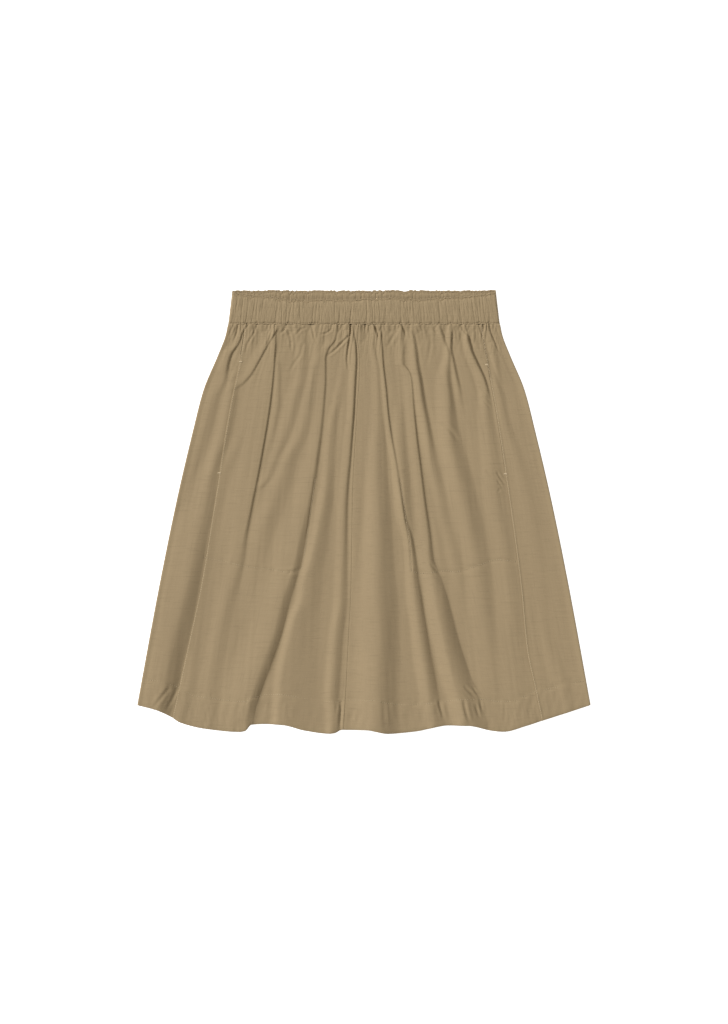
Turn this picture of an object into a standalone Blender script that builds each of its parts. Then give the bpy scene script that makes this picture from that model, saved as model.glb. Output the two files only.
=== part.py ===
"""A knee-length cotton skirt with an elastic waist, laid flat on a table with its front up.

+X runs to the viewer's right, +Y runs to the waist, and Z = 0 is the table top. The origin is under
the middle of the skirt. Sizes are in millimetres here and become metres when a mesh is made.

Every panel is worked out from two numbers: x, how far a point lies to the right of the middle, and
drop, how far it lies below the seam that joins the skirt to its waistband.
"""

from typing import NamedTuple

import bpy
import numpy as np

# Driving sizes, mm
MILLIMETRE = 0.001
WAIST_SEAM_Y = 253.0  # the waist seam lies this far above the middle of the skirt
CLOTH = 1.0  # wall of a single panel: poplin with its seam allowances
HEM_CLOTH = 2.0  # the hem is turned up, so its wall is doubled
HEM_DEPTH = 40.0
SEAM_GAP = 0.3  # between two sewn pieces
LAYER_GAP = 0.3  # between two layers that lie on each other
LONGEST_DROP = 552.0

# The waistband is a casing round a 40 mm elastic, split here at the sides into a front and a back half.
BAND_HALF_TOP = 178.0
BAND_HALF_SEAM = 183.5
BAND_MIDDLE_Z = 4.6  # the height where the two halves meet
BAND_TOP_Z = 9.2
BAND_BACK_HEIGHT = 46.6  # from the waist seam to the top edge
BAND_EDGE_RIPPLE = 0.4
# The front half's top edge sinks between its ends, as x and height over the waist seam.
BAND_FRONT_X = (-178, -160, -126, -99, -18, 10, 49, 70, 103, 130, 157, 178)
BAND_FRONT_HEIGHT = (44.5, 40.5, 37.8, 34, 33.8, 36.2, 36.2, 34.2, 36.5, 37.8, 40.5, 44.5)
BAND_RIBS = 40  # the casing is drawn up into ribs
BAND_RIB_DEPTH = 1.3
BAND_BACK_RIB_DEPTH = 0.5
BAND_END_RADIUS = 7.0
BAND_END_THICKNESS = 0.6
BAND_END_INSET = 2.5  # the back half's end slopes in to the table
RIB_DRIFT = (0.3, 0.25)  # two waves push the ribs off their even spacing, in shares of a rib
RIB_DRIFT_TURN = (1.7, 0.61)
VALLEY_UNEVENNESS = 0.25
VALLEY_TURN = 0.9
RIPPLE_TURN = 2.3
# Rows across the band, from the top edge down to the waist seam: the share of the way up, the share
# of the full thickness, and the share of the rib depth. Two rows of stitches press it down.
BAND_ROW_UP = (1, 0.95, 0.87, 0.76, 0.26, 0.14, 0.05, 0)
BAND_ROW_THICKNESS = (0.5, 0.86, 0.8, 1, 1, 0.8, 0.86, 0.6)
BAND_ROW_RIBS = (0.3, 0.8, 0.45, 1, 1, 0.45, 0.8, 0.4)

# Half the width of the skirt's outline, by drop.
OUTLINE_DROP = (0, 14, 40, 88, 142, 236, 344, 513, LONGEST_DROP)
OUTLINE_HALF_WIDTH = (184, 187, 197, 217, 231, 253, 275, 306, 313)

# The front hem's edge, as x and drop. It steps where a fold overlaps its neighbour.
HEM_X = (-306, -281, -265, -249, -217, -168, -160, -152, -136, -111, -79, -47, -38, -30)
HEM_DROP = (513, 520, 528, 537, 545, 549.5, 548, 540, 539, 540, 548, 552, 551, 547)
HEM_X += (2, 34, 67, 115, 140, 172, 188, 221, 253, 286, 306)
HEM_DROP += (547, 552, 549.5, 541, 541, 548, 549.5, 541, 531, 520, 513)
BACK_HEM_SIDE_DROP = 513.0
BACK_HEM_MIDDLE_DROP = 534.0

# Drops at which the seams and the folds below are given.
LEVELS = (10, 50, 115, 223, 358, 540)
LEFT_SEAM = (-161.5, -168, -181.5, -199, -221, -261)
CENTRE_SEAM = (-10, -5.5, -9, -15, -17.5, -27)
RIGHT_SEAM = (158, 165.5, 177.5, 194, 212.5, 240.5)


class Fold(NamedTuple):
    """A lengthwise fold: cloth rises gently to a ridge and falls steeply to a crease on its right."""

    name: str
    crease_x: tuple  # where the crease lies, at each of LEVELS
    height: tuple  # of the ridge over the crease, at each of LEVELS
    fall: tuple  # width of the steep side, at the waist and at the hem
    rise: tuple  # width of the gentle side, at the waist and at the hem
    sharpness: float  # 0 for a soft valley, 1 for a hard crease


FOLDS = (
    # name, crease_x, then height, fall, rise, sharpness
    Fold("hip_crease", (-163, -182, -202, -226, -248, -274),
         (2, 3.2, 1.6, 0.7, 0, 0), (8, 20), (11, 16), 0.8),
    Fold("left_seam", (-165, -172, -184, -203, -225, -267),
         (0, 0, 0.4, 2.8, 6.4, 7.6), (11, 19), (14, 24), 0.85),
    Fold("pocket_crease", (-117, -141, -191, -220, -248, -274),
         (2.4, 3.2, 0, 0, 0, 0), (6, 8), (12, 14), 0.85),
    Fold("left_middle", (-115, -119, -126, -146, -173, -211),
         (1.6, 4.8, 5.2, 4.8, 2.8, 1.2), (7, 16), (20, 20), 0.9),
    Fold("left_soft", (-82, -82, -98, -136, -167, -194),
         (1.6, 2.4, 2.8, 1.2, 0, 0), (9, 11), (10, 11), 0.35),
    Fold("left_inner", (-70, -71, -79, -106, -153, -167),
         (1.6, 2.4, 2.8, 2.4, 0, 0), (7, 22), (6, 14), 0.3),
    Fold("left_deep", (-36, -51, -55, -70, -98, -153),
         (2.4, 4, 4.8, 6.4, 8.8, 10), (7, 17), (14, 48), 0.85),
    Fold("left_wave", (-28, -28, -34, -47, -59, -63),
         (0.8, 1.6, 2.4, 2.8, 4, 4.8), (6, 38), (8, 11), 0.2),
    Fold("centre_left", (-16, -9, -13, -22, -22, -36),
         (2.4, 4.8, 5.2, 4, 4.4, 5.6), (6, 14), (9, 11), 0.85),
    Fold("centre_soft", (11, 16, 28, 37, 43, 45),
         (0.8, 1.2, 2.4, 4, 6.4, 7.2), (8, 23), (12, 38), 0.35),
    Fold("right_deep", (24, 26, 33, 51, 71, 107),
         (2, 3.2, 3.6, 4, 5.6, 5.6), (4, 16), (6, 16), 0.85),
    Fold("right_short", (55, 55, 69, 82, 103, 149),
         (0, 2.4, 4.8, 6.4, 9.6, 8.8), (6, 19), (11, 19), 0.8),
    Fold("right_upper", (68, 72, 84, 103, 136, 178),
         (2.8, 4.4, 4.8, 2.4, 0, 0), (4, 16), (7, 11), 0.8),
    Fold("right_soft", (106, 115, 121, 142, 168, 191),
         (2.4, 3.6, 3.6, 4, 3.2, 0.8), (6, 27), (12, 30), 0.3),
    Fold("right_crease", (120, 122, 137, 152, 171, 191),
         (2.8, 4, 0.8, 0, 0, 0), (4, 6), (5, 7), 0.85),
    Fold("pocket_fold", (141, 152, 178, 194, 213, 240),
         (2.4, 3.6, 2.4, 1.6, 2, 1.6), (6, 30), (12, 27), 0.6),
    Fold("right_hip", (179, 183, 192, 225, 248, 286),
         (0.8, 2, 2, 2, 1.2, 0.8), (8, 19), (9, 22), 0.3),
)
LIP_SHARE = 0.22  # a crease's far side swells this much of the fold's height
LIP_WIDTH = 7.0

# Gathers below the waistband: small waves that die out downwards. Two slow waves push them off their
# even spacing, and a third makes some deeper than others.
GATHER_SPACING = 11.2
GATHER_DROP = (0, 8, 20, 45, 75)
GATHER_HEIGHT = (0.9, 1.5, 1.1, 0.4, 0)
GATHER_PUSH = (1.2, 0.9)
GATHER_PUSH_LENGTH = (57, 23)
GATHER_UNEVENNESS = 0.35
GATHER_UNEVEN_LENGTH = 41

# The height of the front layer over the table, away from the folds.
FRONT_HEIGHT = 4.0
FRONT_HEIGHT_AT_WAIST = 7.4
SIDE_HEIGHT = 2.6
SIDE_HEIGHT_AT_WAIST = 8.0
WAIST_BLEND = 38.0
HEM_LIFT = 1.0
HEM_LIFT_DROPS = (440.0, 500.0)
SIDE_BLEND = 25.0  # the front reaches its full height this far in from the folded side
RELIEF_BLEND = 20.0  # and its folds and gathers reach theirs this far in
PROBE = 0.5  # a slope is measured between points this far to each side
MOST_LEAN = 1.7  # on the steepest slopes the wall is no more than this much deeper

# How the front is divided: its guides are the seams and the main creases.
LEFT_GUIDES = (LEFT_SEAM, "left_middle", "left_deep", "centre_left", CENTRE_SEAM)
LEFT_COLUMNS = (8, 11, 9, 1)
RIGHT_GUIDES = (CENTRE_SEAM, "right_deep", "right_short", RIGHT_SEAM)
RIGHT_COLUMNS = (10, 6, 16)
CROWDING = 0.35  # columns crowd towards the crease at the right of each stretch
GATHER_ROWS = (0.3, 4, 10, 18, 28, 40, 54)
BODY_ROWS = tuple(range(70, 491, 28))
HEM_ROWS = tuple(LONGEST_DROP - HEM_DEPTH * share for share in (1.05, 1, 0.5, 0))
BACK_ROWS = GATHER_ROWS[:1] + GATHER_ROWS[2::2] + BODY_ROWS + HEM_ROWS

# How the back is divided, all round its section.
STRIP_COLUMNS = 7
SIDE_TURN_STEPS = 4
UNDER_COLUMNS = 14

# Pocket bags: a thin double layer of pocketing that hangs from the waist seam and the pocket seam.
BAG_CLOTH = 1.0
BAG_DROPS = (3, 90, 190, 290)
BAG_BOTTOM_DROP_OUTER = 315.0
BAG_BOTTOM_DROP_INNER = 333.0
BAG_INNER_X = (46, 50, 58, 64)  # the inner edge, from the middle, at each of BAG_DROPS
BAG_PAST_SEAM = 10.0
BAG_COLUMNS = 4

# Looks
POPLIN_COLOUR = (0.384, 0.300, 0.187, 1)
BAND_COLOUR = (0.376, 0.292, 0.181, 1)
POCKETING_COLOUR = (0.42, 0.34, 0.23, 1)
POPLIN_ROUGHNESS = 0.85


def clear_scene():
    for old in list(bpy.data.objects):
        bpy.data.objects.remove(old, do_unlink=True)


def ease(share):
    """0 to 1 with no corner at either end."""
    share = np.clip(share, 0, 1)
    return share * share * (3 - 2 * share)


def smooth(at, knots, values):
    """A curve through the knots that never swings past its neighbours."""
    knots = np.asarray(knots, float)
    values = np.asarray(values, float)
    secant = np.diff(values) / np.diff(knots)
    slope = np.zeros(len(knots))
    same_way = secant[:-1] * secant[1:] > 0
    before = secant[:-1][same_way]
    after = secant[1:][same_way]
    slope[1:-1][same_way] = 2 * before * after / (before + after)
    slope[0] = secant[0]
    slope[-1] = secant[-1]
    at = np.clip(at, knots[0], knots[-1])
    span = np.clip(np.searchsorted(knots, at, side="right") - 1, 0, len(knots) - 2)
    width = knots[span + 1] - knots[span]
    share = (at - knots[span]) / width
    near = (1 + 2 * share) * (1 - share) ** 2 * values[span]
    far = share**2 * (3 - 2 * share) * values[span + 1]
    lean_near = share * (1 - share) ** 2 * width * slope[span]
    lean_far = share**2 * (share - 1) * width * slope[span + 1]
    return near + far + lean_near + lean_far


def half_width(drop):
    return smooth(drop, OUTLINE_DROP, OUTLINE_HALF_WIDTH)


def hem_drop(x):
    return smooth(x, HEM_X, HEM_DROP)


def back_hem_drop(x):
    share = 1 - (np.asarray(x) / HEM_X[-1]) ** 2
    return BACK_HEM_SIDE_DROP + (BACK_HEM_MIDDLE_DROP - BACK_HEM_SIDE_DROP) * share


def from_waist_to_hem(drop, ends):
    return np.interp(drop, (LEVELS[1], LEVELS[-1]), ends)


def fold_height(fold, x, drop):
    """How far one fold lifts the cloth at x and drop."""
    height = smooth(drop, LEVELS, fold.height)
    fall = from_waist_to_hem(drop, fold.fall)
    rise = from_waist_to_hem(drop, fold.rise)
    past = x - smooth(drop, LEVELS, fold.crease_x)
    share = np.clip(-past / fall, 0, 1)
    steep = (1 - fold.sharpness) * ease(share) + fold.sharpness * (1 - (1 - share) ** 2)
    gentle = ease((past + fall + rise) / rise)
    beyond = np.clip(past, 0, None) / LIP_WIDTH
    lip = LIP_SHARE * beyond * np.exp(1 - beyond)
    return height * np.where(past > 0, lip, np.where(-past <= fall, steep, gentle))


def gather_height(x, drop):
    """Uneven waves across the top of the skirt, where the cloth is drawn up to the band."""
    turn = 2 * np.pi * x
    drift = sum(push * np.sin(turn / length) for push, length in zip(GATHER_PUSH, GATHER_PUSH_LENGTH))
    wave = np.cos(turn / GATHER_SPACING + drift)
    unevenness = 1 + GATHER_UNEVENNESS * np.sin(turn / GATHER_UNEVEN_LENGTH)
    return np.interp(drop, GATHER_DROP, GATHER_HEIGHT) * wave * unevenness


def hem_share(drop):
    """0 above the hem and 1 in it: the doubled cloth lifts what lies over it."""
    start, end = HEM_LIFT_DROPS
    return ease((drop - start) / (end - start))


def side_height(drop):
    """Thickness of the two layers at the folded side."""
    at_waist = (SIDE_HEIGHT_AT_WAIST - SIDE_HEIGHT) * np.exp(-drop / WAIST_BLEND)
    return SIDE_HEIGHT + at_waist + 2 * HEM_LIFT * hem_share(drop)


def front_height(x, drop):
    """Height of the front layer's outer face over the table."""
    inside = half_width(drop) - np.abs(x)
    at_waist = (FRONT_HEIGHT_AT_WAIST - FRONT_HEIGHT) * np.exp(-drop / WAIST_BLEND)
    plain = FRONT_HEIGHT + at_waist + HEM_LIFT * hem_share(drop)
    side = side_height(drop)
    relief = gather_height(x, drop) + sum(fold_height(fold, x, drop) for fold in FOLDS)
    return side + (plain - side) * ease(inside / SIDE_BLEND) + relief * ease(inside / RELIEF_BLEND)


def wall(base_drop):
    """Thickness of a panel at a row: single cloth, or double in the hem."""
    return HEM_CLOTH if base_drop >= LONGEST_DROP - HEM_DEPTH else CLOTH


def slope_factor(x, drop):
    """How much deeper the wall is when measured straight down through a slope."""
    lean = (front_height(x + PROBE, drop) - front_height(x - PROBE, drop)) / (2 * PROBE)
    return np.minimum(np.sqrt(1 + lean**2), MOST_LEAN)


def point(x, drop, z):
    return np.stack(np.broadcast_arrays(x, WAIST_SEAM_Y - drop, z), axis=-1)


def material(name, colour, roughness):
    made = bpy.data.materials.new(name)
    made.use_nodes = True
    shader = made.node_tree.nodes["Principled BSDF"]
    shader.inputs["Base Color"].default_value = colour
    shader.inputs["Roughness"].default_value = roughness
    shader.inputs["Metallic"].default_value = 0
    made.diffuse_color = colour
    return made


def add_object(name, points, faces, finish):
    mesh = bpy.data.meshes.new(name)
    mesh.from_pydata((np.asarray(points) * MILLIMETRE).tolist(), [], faces)
    mesh.validate()
    mesh.materials.append(finish)
    mesh.shade_smooth()
    mesh.set_sharp_from_angle(angle=np.radians(60))
    made = bpy.data.objects.new(name, mesh)
    bpy.context.scene.collection.objects.link(made)
    return made


def faces_between(upper, lower):
    """Faces that join two rows of point numbers, where the upper row may have twice the columns."""
    if len(upper) == len(lower):
        return [(upper[i], lower[i], lower[i + 1], upper[i + 1]) for i in range(len(lower) - 1)]
    faces = []
    for i in range(len(lower) - 1):
        first, middle, last = upper[2 * i : 2 * i + 3]
        faces.append((first, lower[i], middle))
        faces.append((middle, lower[i], lower[i + 1]))
        faces.append((middle, lower[i + 1], last))
    return faces


def closed_wall(outer_rows, inner_rows):
    """Points and faces of a wall between an outer and an inner sheet given as rows of points."""
    points = []
    numbered = []
    for rows in (outer_rows, inner_rows):
        numbers = []
        for row in rows:
            numbers.append(list(range(len(points), len(points) + len(row))))
            points.extend(row)
        numbered.append(numbers)
    outer, inner = numbered
    faces = []
    for above, below in zip(outer, outer[1:]):
        faces += faces_between(above, below)
    for above, below in zip(inner, inner[1:]):
        faces += [face[::-1] for face in faces_between(above, below)]
    outer_rim = rim(outer)
    inner_rim = rim(inner)
    for i, corner in enumerate(outer_rim):
        following = (i + 1) % len(outer_rim)
        faces.append((corner, inner_rim[i], inner_rim[following], outer_rim[following]))
    return points, faces


def rim(rows):
    """Point numbers round the edge of a sheet, from its first corner along the first column."""
    down = [row[0] for row in rows]
    along = rows[-1][1:]
    up = [row[-1] for row in reversed(rows[:-1])]
    back = rows[0][-2:0:-1]
    return down + along + up + back


def fold_named(name):
    return next(fold for fold in FOLDS if fold.name == name)


def guide_x(guide, drop):
    xs = fold_named(guide).crease_x if isinstance(guide, str) else guide
    return smooth(drop, LEVELS, xs)


def column_places(counts, doubled):
    """Columns of a front panel: which stretch each lies in, and the share of the way across it."""
    stretches = []
    shares = []
    for stretch, count in enumerate(counts):
        steps = count * (2 if doubled else 1)
        share = np.arange(steps) / steps
        shares.extend(share + CROWDING * np.sin(np.pi * share) / np.pi)
        stretches.extend([stretch] * steps)
    return np.array(stretches + [len(counts) - 1]), np.array(shares + [1.0])


def column_x(guides, stretches, shares, drop):
    """Where the columns of a front panel lie at the given drops, clear of the seams at both ends."""
    lines = np.array([guide_x(guide, drop) for guide in guides])
    pick = np.arange(len(shares))
    x = lines[stretches, pick] * (1 - shares) + lines[stretches + 1, pick] * shares
    x[0] += SEAM_GAP / 2
    x[-1] -= SEAM_GAP / 2
    return x


def front_panel(name, guides, counts, finish):
    """One half of the front: a wall from seam to seam, its columns led by the main creases."""
    outer_rows = []
    inner_rows = []
    for base_drop in GATHER_ROWS + BODY_ROWS + HEM_ROWS:
        stretches, shares = column_places(counts, base_drop in GATHER_ROWS)
        lowest = np.full(len(shares), LEVELS[-1])
        drop = base_drop * hem_drop(column_x(guides, stretches, shares, lowest)) / LONGEST_DROP
        x = column_x(guides, stretches, shares, drop)
        top = front_height(x, drop)
        outer_rows.append(point(x, drop, top))
        inner_rows.append(point(x, drop, top - wall(base_drop) * slope_factor(x, drop)))
    return add_object(name, *closed_wall(outer_rows, inner_rows), finish)


def back_section(base_drop):
    """One row of the back's outer and inner faces: from the right seam round under the skirt to the left."""
    strip = np.linspace(0, 1, STRIP_COLUMNS + 1)[:-1]
    turn = np.radians(np.linspace(0, 180, SIDE_TURN_STEPS + 1))
    under = np.linspace(1, -1, UNDER_COLUMNS + 1)[1:-1]
    way_down = base_drop / LONGEST_DROP
    thickness = wall(base_drop)

    def strip_points(side, seam, shares):
        """The part of the back that lies on top, from its seam out to the folded side."""
        edge_at_hem = half_width(BACK_HEM_SIDE_DROP) - SIDE_HEIGHT / 2
        seam_at_hem = side * seam[-1]
        drop = way_down * hem_drop(side * (seam_at_hem + (edge_at_hem - seam_at_hem) * shares))
        edge = half_width(drop) - side_height(drop) / 2
        start = side * smooth(drop, LEVELS, seam) + SEAM_GAP / 2
        x = side * (start + (edge - start) * shares)
        top = front_height(x, drop)
        return point(x, drop, top), point(x, drop, top - thickness * slope_factor(x, drop))

    def turn_points(side, angles):
        """Half a circle round the folded side, from the top layer to the table."""
        drop = way_down * BACK_HEM_SIDE_DROP
        radius = side_height(drop) / 2
        centre = half_width(drop) - radius
        faces = []
        for reach in (radius, radius - thickness):
            x = side * (centre + reach * np.sin(angles))
            faces.append(point(x, np.full(len(angles), drop), radius + reach * np.cos(angles)))
        return faces

    right_strip = strip_points(1, RIGHT_SEAM, strip)
    right_turn = turn_points(1, turn)
    left_turn = turn_points(-1, turn[::-1])
    left_strip = strip_points(-1, LEFT_SEAM, strip[::-1])
    hem_half = half_width(BACK_HEM_SIDE_DROP)
    under_drop = way_down * back_hem_drop(under * hem_half)
    under_x = under * (half_width(under_drop) - side_height(under_drop) / 2)
    faces = []
    for face, height in enumerate((0.0, thickness)):
        underside = point(under_x, under_drop, np.full(len(under), height))
        sides = (right_strip[face], right_turn[face], underside, left_turn[face], left_strip[face])
        faces.append(np.concatenate(sides))
    outer, inner = faces
    return outer, inner


def back_panel(finish):
    """The back: flat on the table, and brought forward round both sides to the pocket seams."""
    sections = [back_section(base_drop) for base_drop in BACK_ROWS]
    outer_rows = [section[0] for section in sections]
    inner_rows = [section[1] for section in sections]
    return add_object("back", *closed_wall(outer_rows, inner_rows), finish)


def rib_places():
    """Valleys and crests of the ribs across the band, as shares of its half width, unevenly spaced."""
    place = np.arange(2 * BAND_RIBS + 1)
    even = place / BAND_RIBS - 1
    drift = sum(push * np.sin(turn * place + turn) for push, turn in zip(RIB_DRIFT, RIB_DRIFT_TURN))
    drift[0] = drift[-1] = 0
    return even + drift / BAND_RIBS


def band_half(name, in_front, finish):
    """One half of the waistband: a ribbed upper face over a plain one."""
    share = rib_places()
    place = np.arange(len(share))
    valley = (place % 2 == 0) * (1 - VALLEY_UNEVENNESS + VALLEY_UNEVENNESS * np.sin(VALLEY_TURN * place))
    depth = BAND_RIB_DEPTH if in_front else BAND_BACK_RIB_DEPTH
    low = BAND_MIDDLE_Z + LAYER_GAP / 2 if in_front else 0.0
    high = BAND_TOP_Z if in_front else BAND_MIDDLE_Z - LAYER_GAP / 2
    if in_front:
        edge = smooth(share * BAND_HALF_TOP, BAND_FRONT_X, BAND_FRONT_HEIGHT)
    else:
        edge = BAND_BACK_HEIGHT + BAND_EDGE_RIPPLE * np.sin(RIPPLE_TURN * place)
    rows = []
    for up, thickness, ribs in zip(BAND_ROW_UP, BAND_ROW_THICKNESS, BAND_ROW_RIBS):
        half = BAND_HALF_SEAM + (BAND_HALF_TOP - BAND_HALF_SEAM) * up
        x = share * half
        reach = np.clip((np.abs(x) - half + BAND_END_RADIUS) / BAND_END_RADIUS, 0, 1)
        roundness = np.sqrt(1 - reach**2) if in_front else np.ones(len(x))
        z = low + (high - low) * thickness * roundness - depth * ribs * valley * roundness
        rows.append(point(x, -edge * up, np.maximum(z, low + BAND_END_THICKNESS)))
    points = [corner for row in rows for corner in row]
    numbers = [list(range(i * len(share), (i + 1) * len(share))) for i in range(len(rows))]
    faces = []
    for above, below in zip(numbers, numbers[1:]):
        faces += faces_between(above, below)
    upper_rim = rim(numbers)
    inset = 0.0 if in_front else BAND_END_INSET / BAND_HALF_SEAM
    lower_rim = []
    for corner in upper_rim:
        at_end = corner % len(share) in (0, len(share) - 1)
        x, y, _ = points[corner]
        lower_rim.append(len(points))
        points.append((x * (1 - inset * at_end), y, low))
    for i, corner in enumerate(upper_rim):
        following = (i + 1) % len(upper_rim)
        faces.append((corner, lower_rim[i], lower_rim[following], upper_rim[following]))
    faces.append(tuple(reversed(lower_rim)))
    return add_object(name, points, faces, finish)


def pocket_bag(name, side, seam, finish):
    """A flat bag between the back and the front, from the waist seam down."""
    shares = np.linspace(0, 1, BAG_COLUMNS + 1)
    bottom = BAG_BOTTOM_DROP_INNER + (BAG_BOTTOM_DROP_OUTER - BAG_BOTTOM_DROP_INNER) * shares
    low = CLOTH + LAYER_GAP
    outer_rows = []
    inner_rows = []
    for row, drop in enumerate(BAG_DROPS + (None,)):
        drops = bottom if drop is None else np.full(len(shares), float(drop))
        inner_edge = BAG_INNER_X[min(row, len(BAG_INNER_X) - 1)]
        outer_edge = np.abs(smooth(drops, LEVELS, seam)) + BAG_PAST_SEAM
        x = side * (inner_edge + (outer_edge - inner_edge) * shares)
        order = slice(None) if side > 0 else slice(None, None, -1)
        outer_rows.append(point(x, drops, low + BAG_CLOTH)[order])
        inner_rows.append(point(x, drops, low)[order])
    return add_object(name, *closed_wall(outer_rows, inner_rows), finish)


def main():
    clear_scene()
    poplin = material("poplin", POPLIN_COLOUR, POPLIN_ROUGHNESS)
    pocketing = material("pocketing", POCKETING_COLOUR, POPLIN_ROUGHNESS)
    casing = material("casing", BAND_COLOUR, POPLIN_ROUGHNESS)
    band_half("waistband_back", False, casing)
    band_half("waistband_front", True, casing)
    back_panel(poplin)
    front_panel("front_left", LEFT_GUIDES, LEFT_COLUMNS, poplin)
    front_panel("front_right", RIGHT_GUIDES, RIGHT_COLUMNS, poplin)
    pocket_bag("pocket_bag_left", -1, LEFT_SEAM, pocketing)
    pocket_bag("pocket_bag_right", 1, RIGHT_SEAM, pocketing)


main()
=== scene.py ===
# %% [markdown]
# # A knee-length cotton skirt with an elastic waist, laid flat
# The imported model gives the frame: metres, +X to the viewer's right, +Y to the waist, Z = 0 the table.
# Each cloth solid is replaced by a thin sheet that lies on the same form, with its creases, seams and
# stitches. Sizes are written in millimetres, and "drop" is how far a point lies below the waist seam.

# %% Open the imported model
import math

import bpy
import numpy as np
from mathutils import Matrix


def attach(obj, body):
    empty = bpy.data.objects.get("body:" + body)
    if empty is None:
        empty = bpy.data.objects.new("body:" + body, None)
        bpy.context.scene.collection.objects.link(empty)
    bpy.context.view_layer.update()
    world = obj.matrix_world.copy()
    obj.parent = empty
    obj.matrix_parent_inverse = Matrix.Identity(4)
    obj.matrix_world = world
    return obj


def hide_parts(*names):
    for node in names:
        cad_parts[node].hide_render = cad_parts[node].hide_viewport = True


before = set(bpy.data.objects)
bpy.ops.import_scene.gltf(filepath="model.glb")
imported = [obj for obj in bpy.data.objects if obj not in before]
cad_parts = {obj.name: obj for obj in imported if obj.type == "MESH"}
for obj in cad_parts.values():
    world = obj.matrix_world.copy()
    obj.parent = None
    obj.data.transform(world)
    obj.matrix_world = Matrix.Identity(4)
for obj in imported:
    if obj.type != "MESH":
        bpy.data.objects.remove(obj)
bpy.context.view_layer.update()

MM = 0.001

# %% [markdown]
# ## The shape that all the cloth shares
# The real skirt was gathered onto its band, laid down and smoothed by hand, so its folds fan out from
# the waist. One height field gives the front's outer face everywhere. The folds could be simulated, but
# then they would fall in places of their own; here each one is laid where the real one lies.

# %% Smooth curves and the outline
WAIST_SEAM_Y = 253.0
LONGEST_DROP = 552.0
SIDE_DROP = 513  # the hem's drop at the folded sides
HEM_HALF_WIDTH = 306
BACK_HEM_BOW = 21  # the back's hem hangs this much lower in the middle
OUTLINE_DROP = (0, 14, 40, 88, 142, 236, 344, SIDE_DROP, 552)
OUTLINE_HALF_WIDTH = (184, 187, 197, 217, 231, 253, 275, HEM_HALF_WIDTH, 313)
HEM_X = (-306, -281, -265, -249, -217, -168, -160, -152, -136, -111, -79, -47, -38, -30)
HEM_DROP = (513, 520, 528, 537, 545, 549.5, 548, 540, 539, 540, 548, 552, 551, 547)
HEM_X += (2, 34, 67, 115, 140, 172, 188, 221, 253, 286, 306)
HEM_DROP += (547, 552, 549.5, 541, 541, 548, 549.5, 541, 531, 520, 513)


def ease(share):
    """0 to 1 with no corner at either end."""
    share = np.clip(share, 0, 1)
    return share * share * (3 - 2 * share)


def smooth(at, knots, values):
    """A curve through the knots that never swings past its neighbours."""
    knots = np.asarray(knots, float)
    values = np.asarray(values, float)
    secant = np.diff(values) / np.diff(knots)
    slope = np.zeros(len(knots))
    same_way = secant[:-1] * secant[1:] > 0
    before = secant[:-1][same_way]
    after = secant[1:][same_way]
    slope[1:-1][same_way] = 2 * before * after / (before + after)
    slope[0] = secant[0]
    slope[-1] = secant[-1]
    at = np.clip(at, knots[0], knots[-1])
    span = np.clip(np.searchsorted(knots, at, side="right") - 1, 0, len(knots) - 2)
    width = knots[span + 1] - knots[span]
    share = (at - knots[span]) / width
    near = (1 + 2 * share) * (1 - share) ** 2 * values[span]
    far = share**2 * (3 - 2 * share) * values[span + 1]
    lean_near = share * (1 - share) ** 2 * width * slope[span]
    lean_far = share**2 * (share - 1) * width * slope[span + 1]
    return near + far + lean_near + lean_far


def half_width(drop):
    return smooth(drop, OUTLINE_DROP, OUTLINE_HALF_WIDTH)


def hem_drop(x):
    return smooth(x, HEM_X, HEM_DROP)


def back_hem_drop(x):
    return SIDE_DROP + BACK_HEM_BOW * (1 - (np.asarray(x) / HEM_HALF_WIDTH) ** 2)


print("outline at the waist and the hem", half_width(0), half_width(LONGEST_DROP))

# %% [markdown]
# ## The main folds
# Each fold rises gently from the left to a ridge and falls to a crease on its right. Its rows give, going
# down: drop, where the crease lies, how high the ridge stands, the widths of the steep and of the gentle
# side, and how sharp the crease is. High up a crease is a thin line; lower down it opens to a broad slope.

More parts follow.
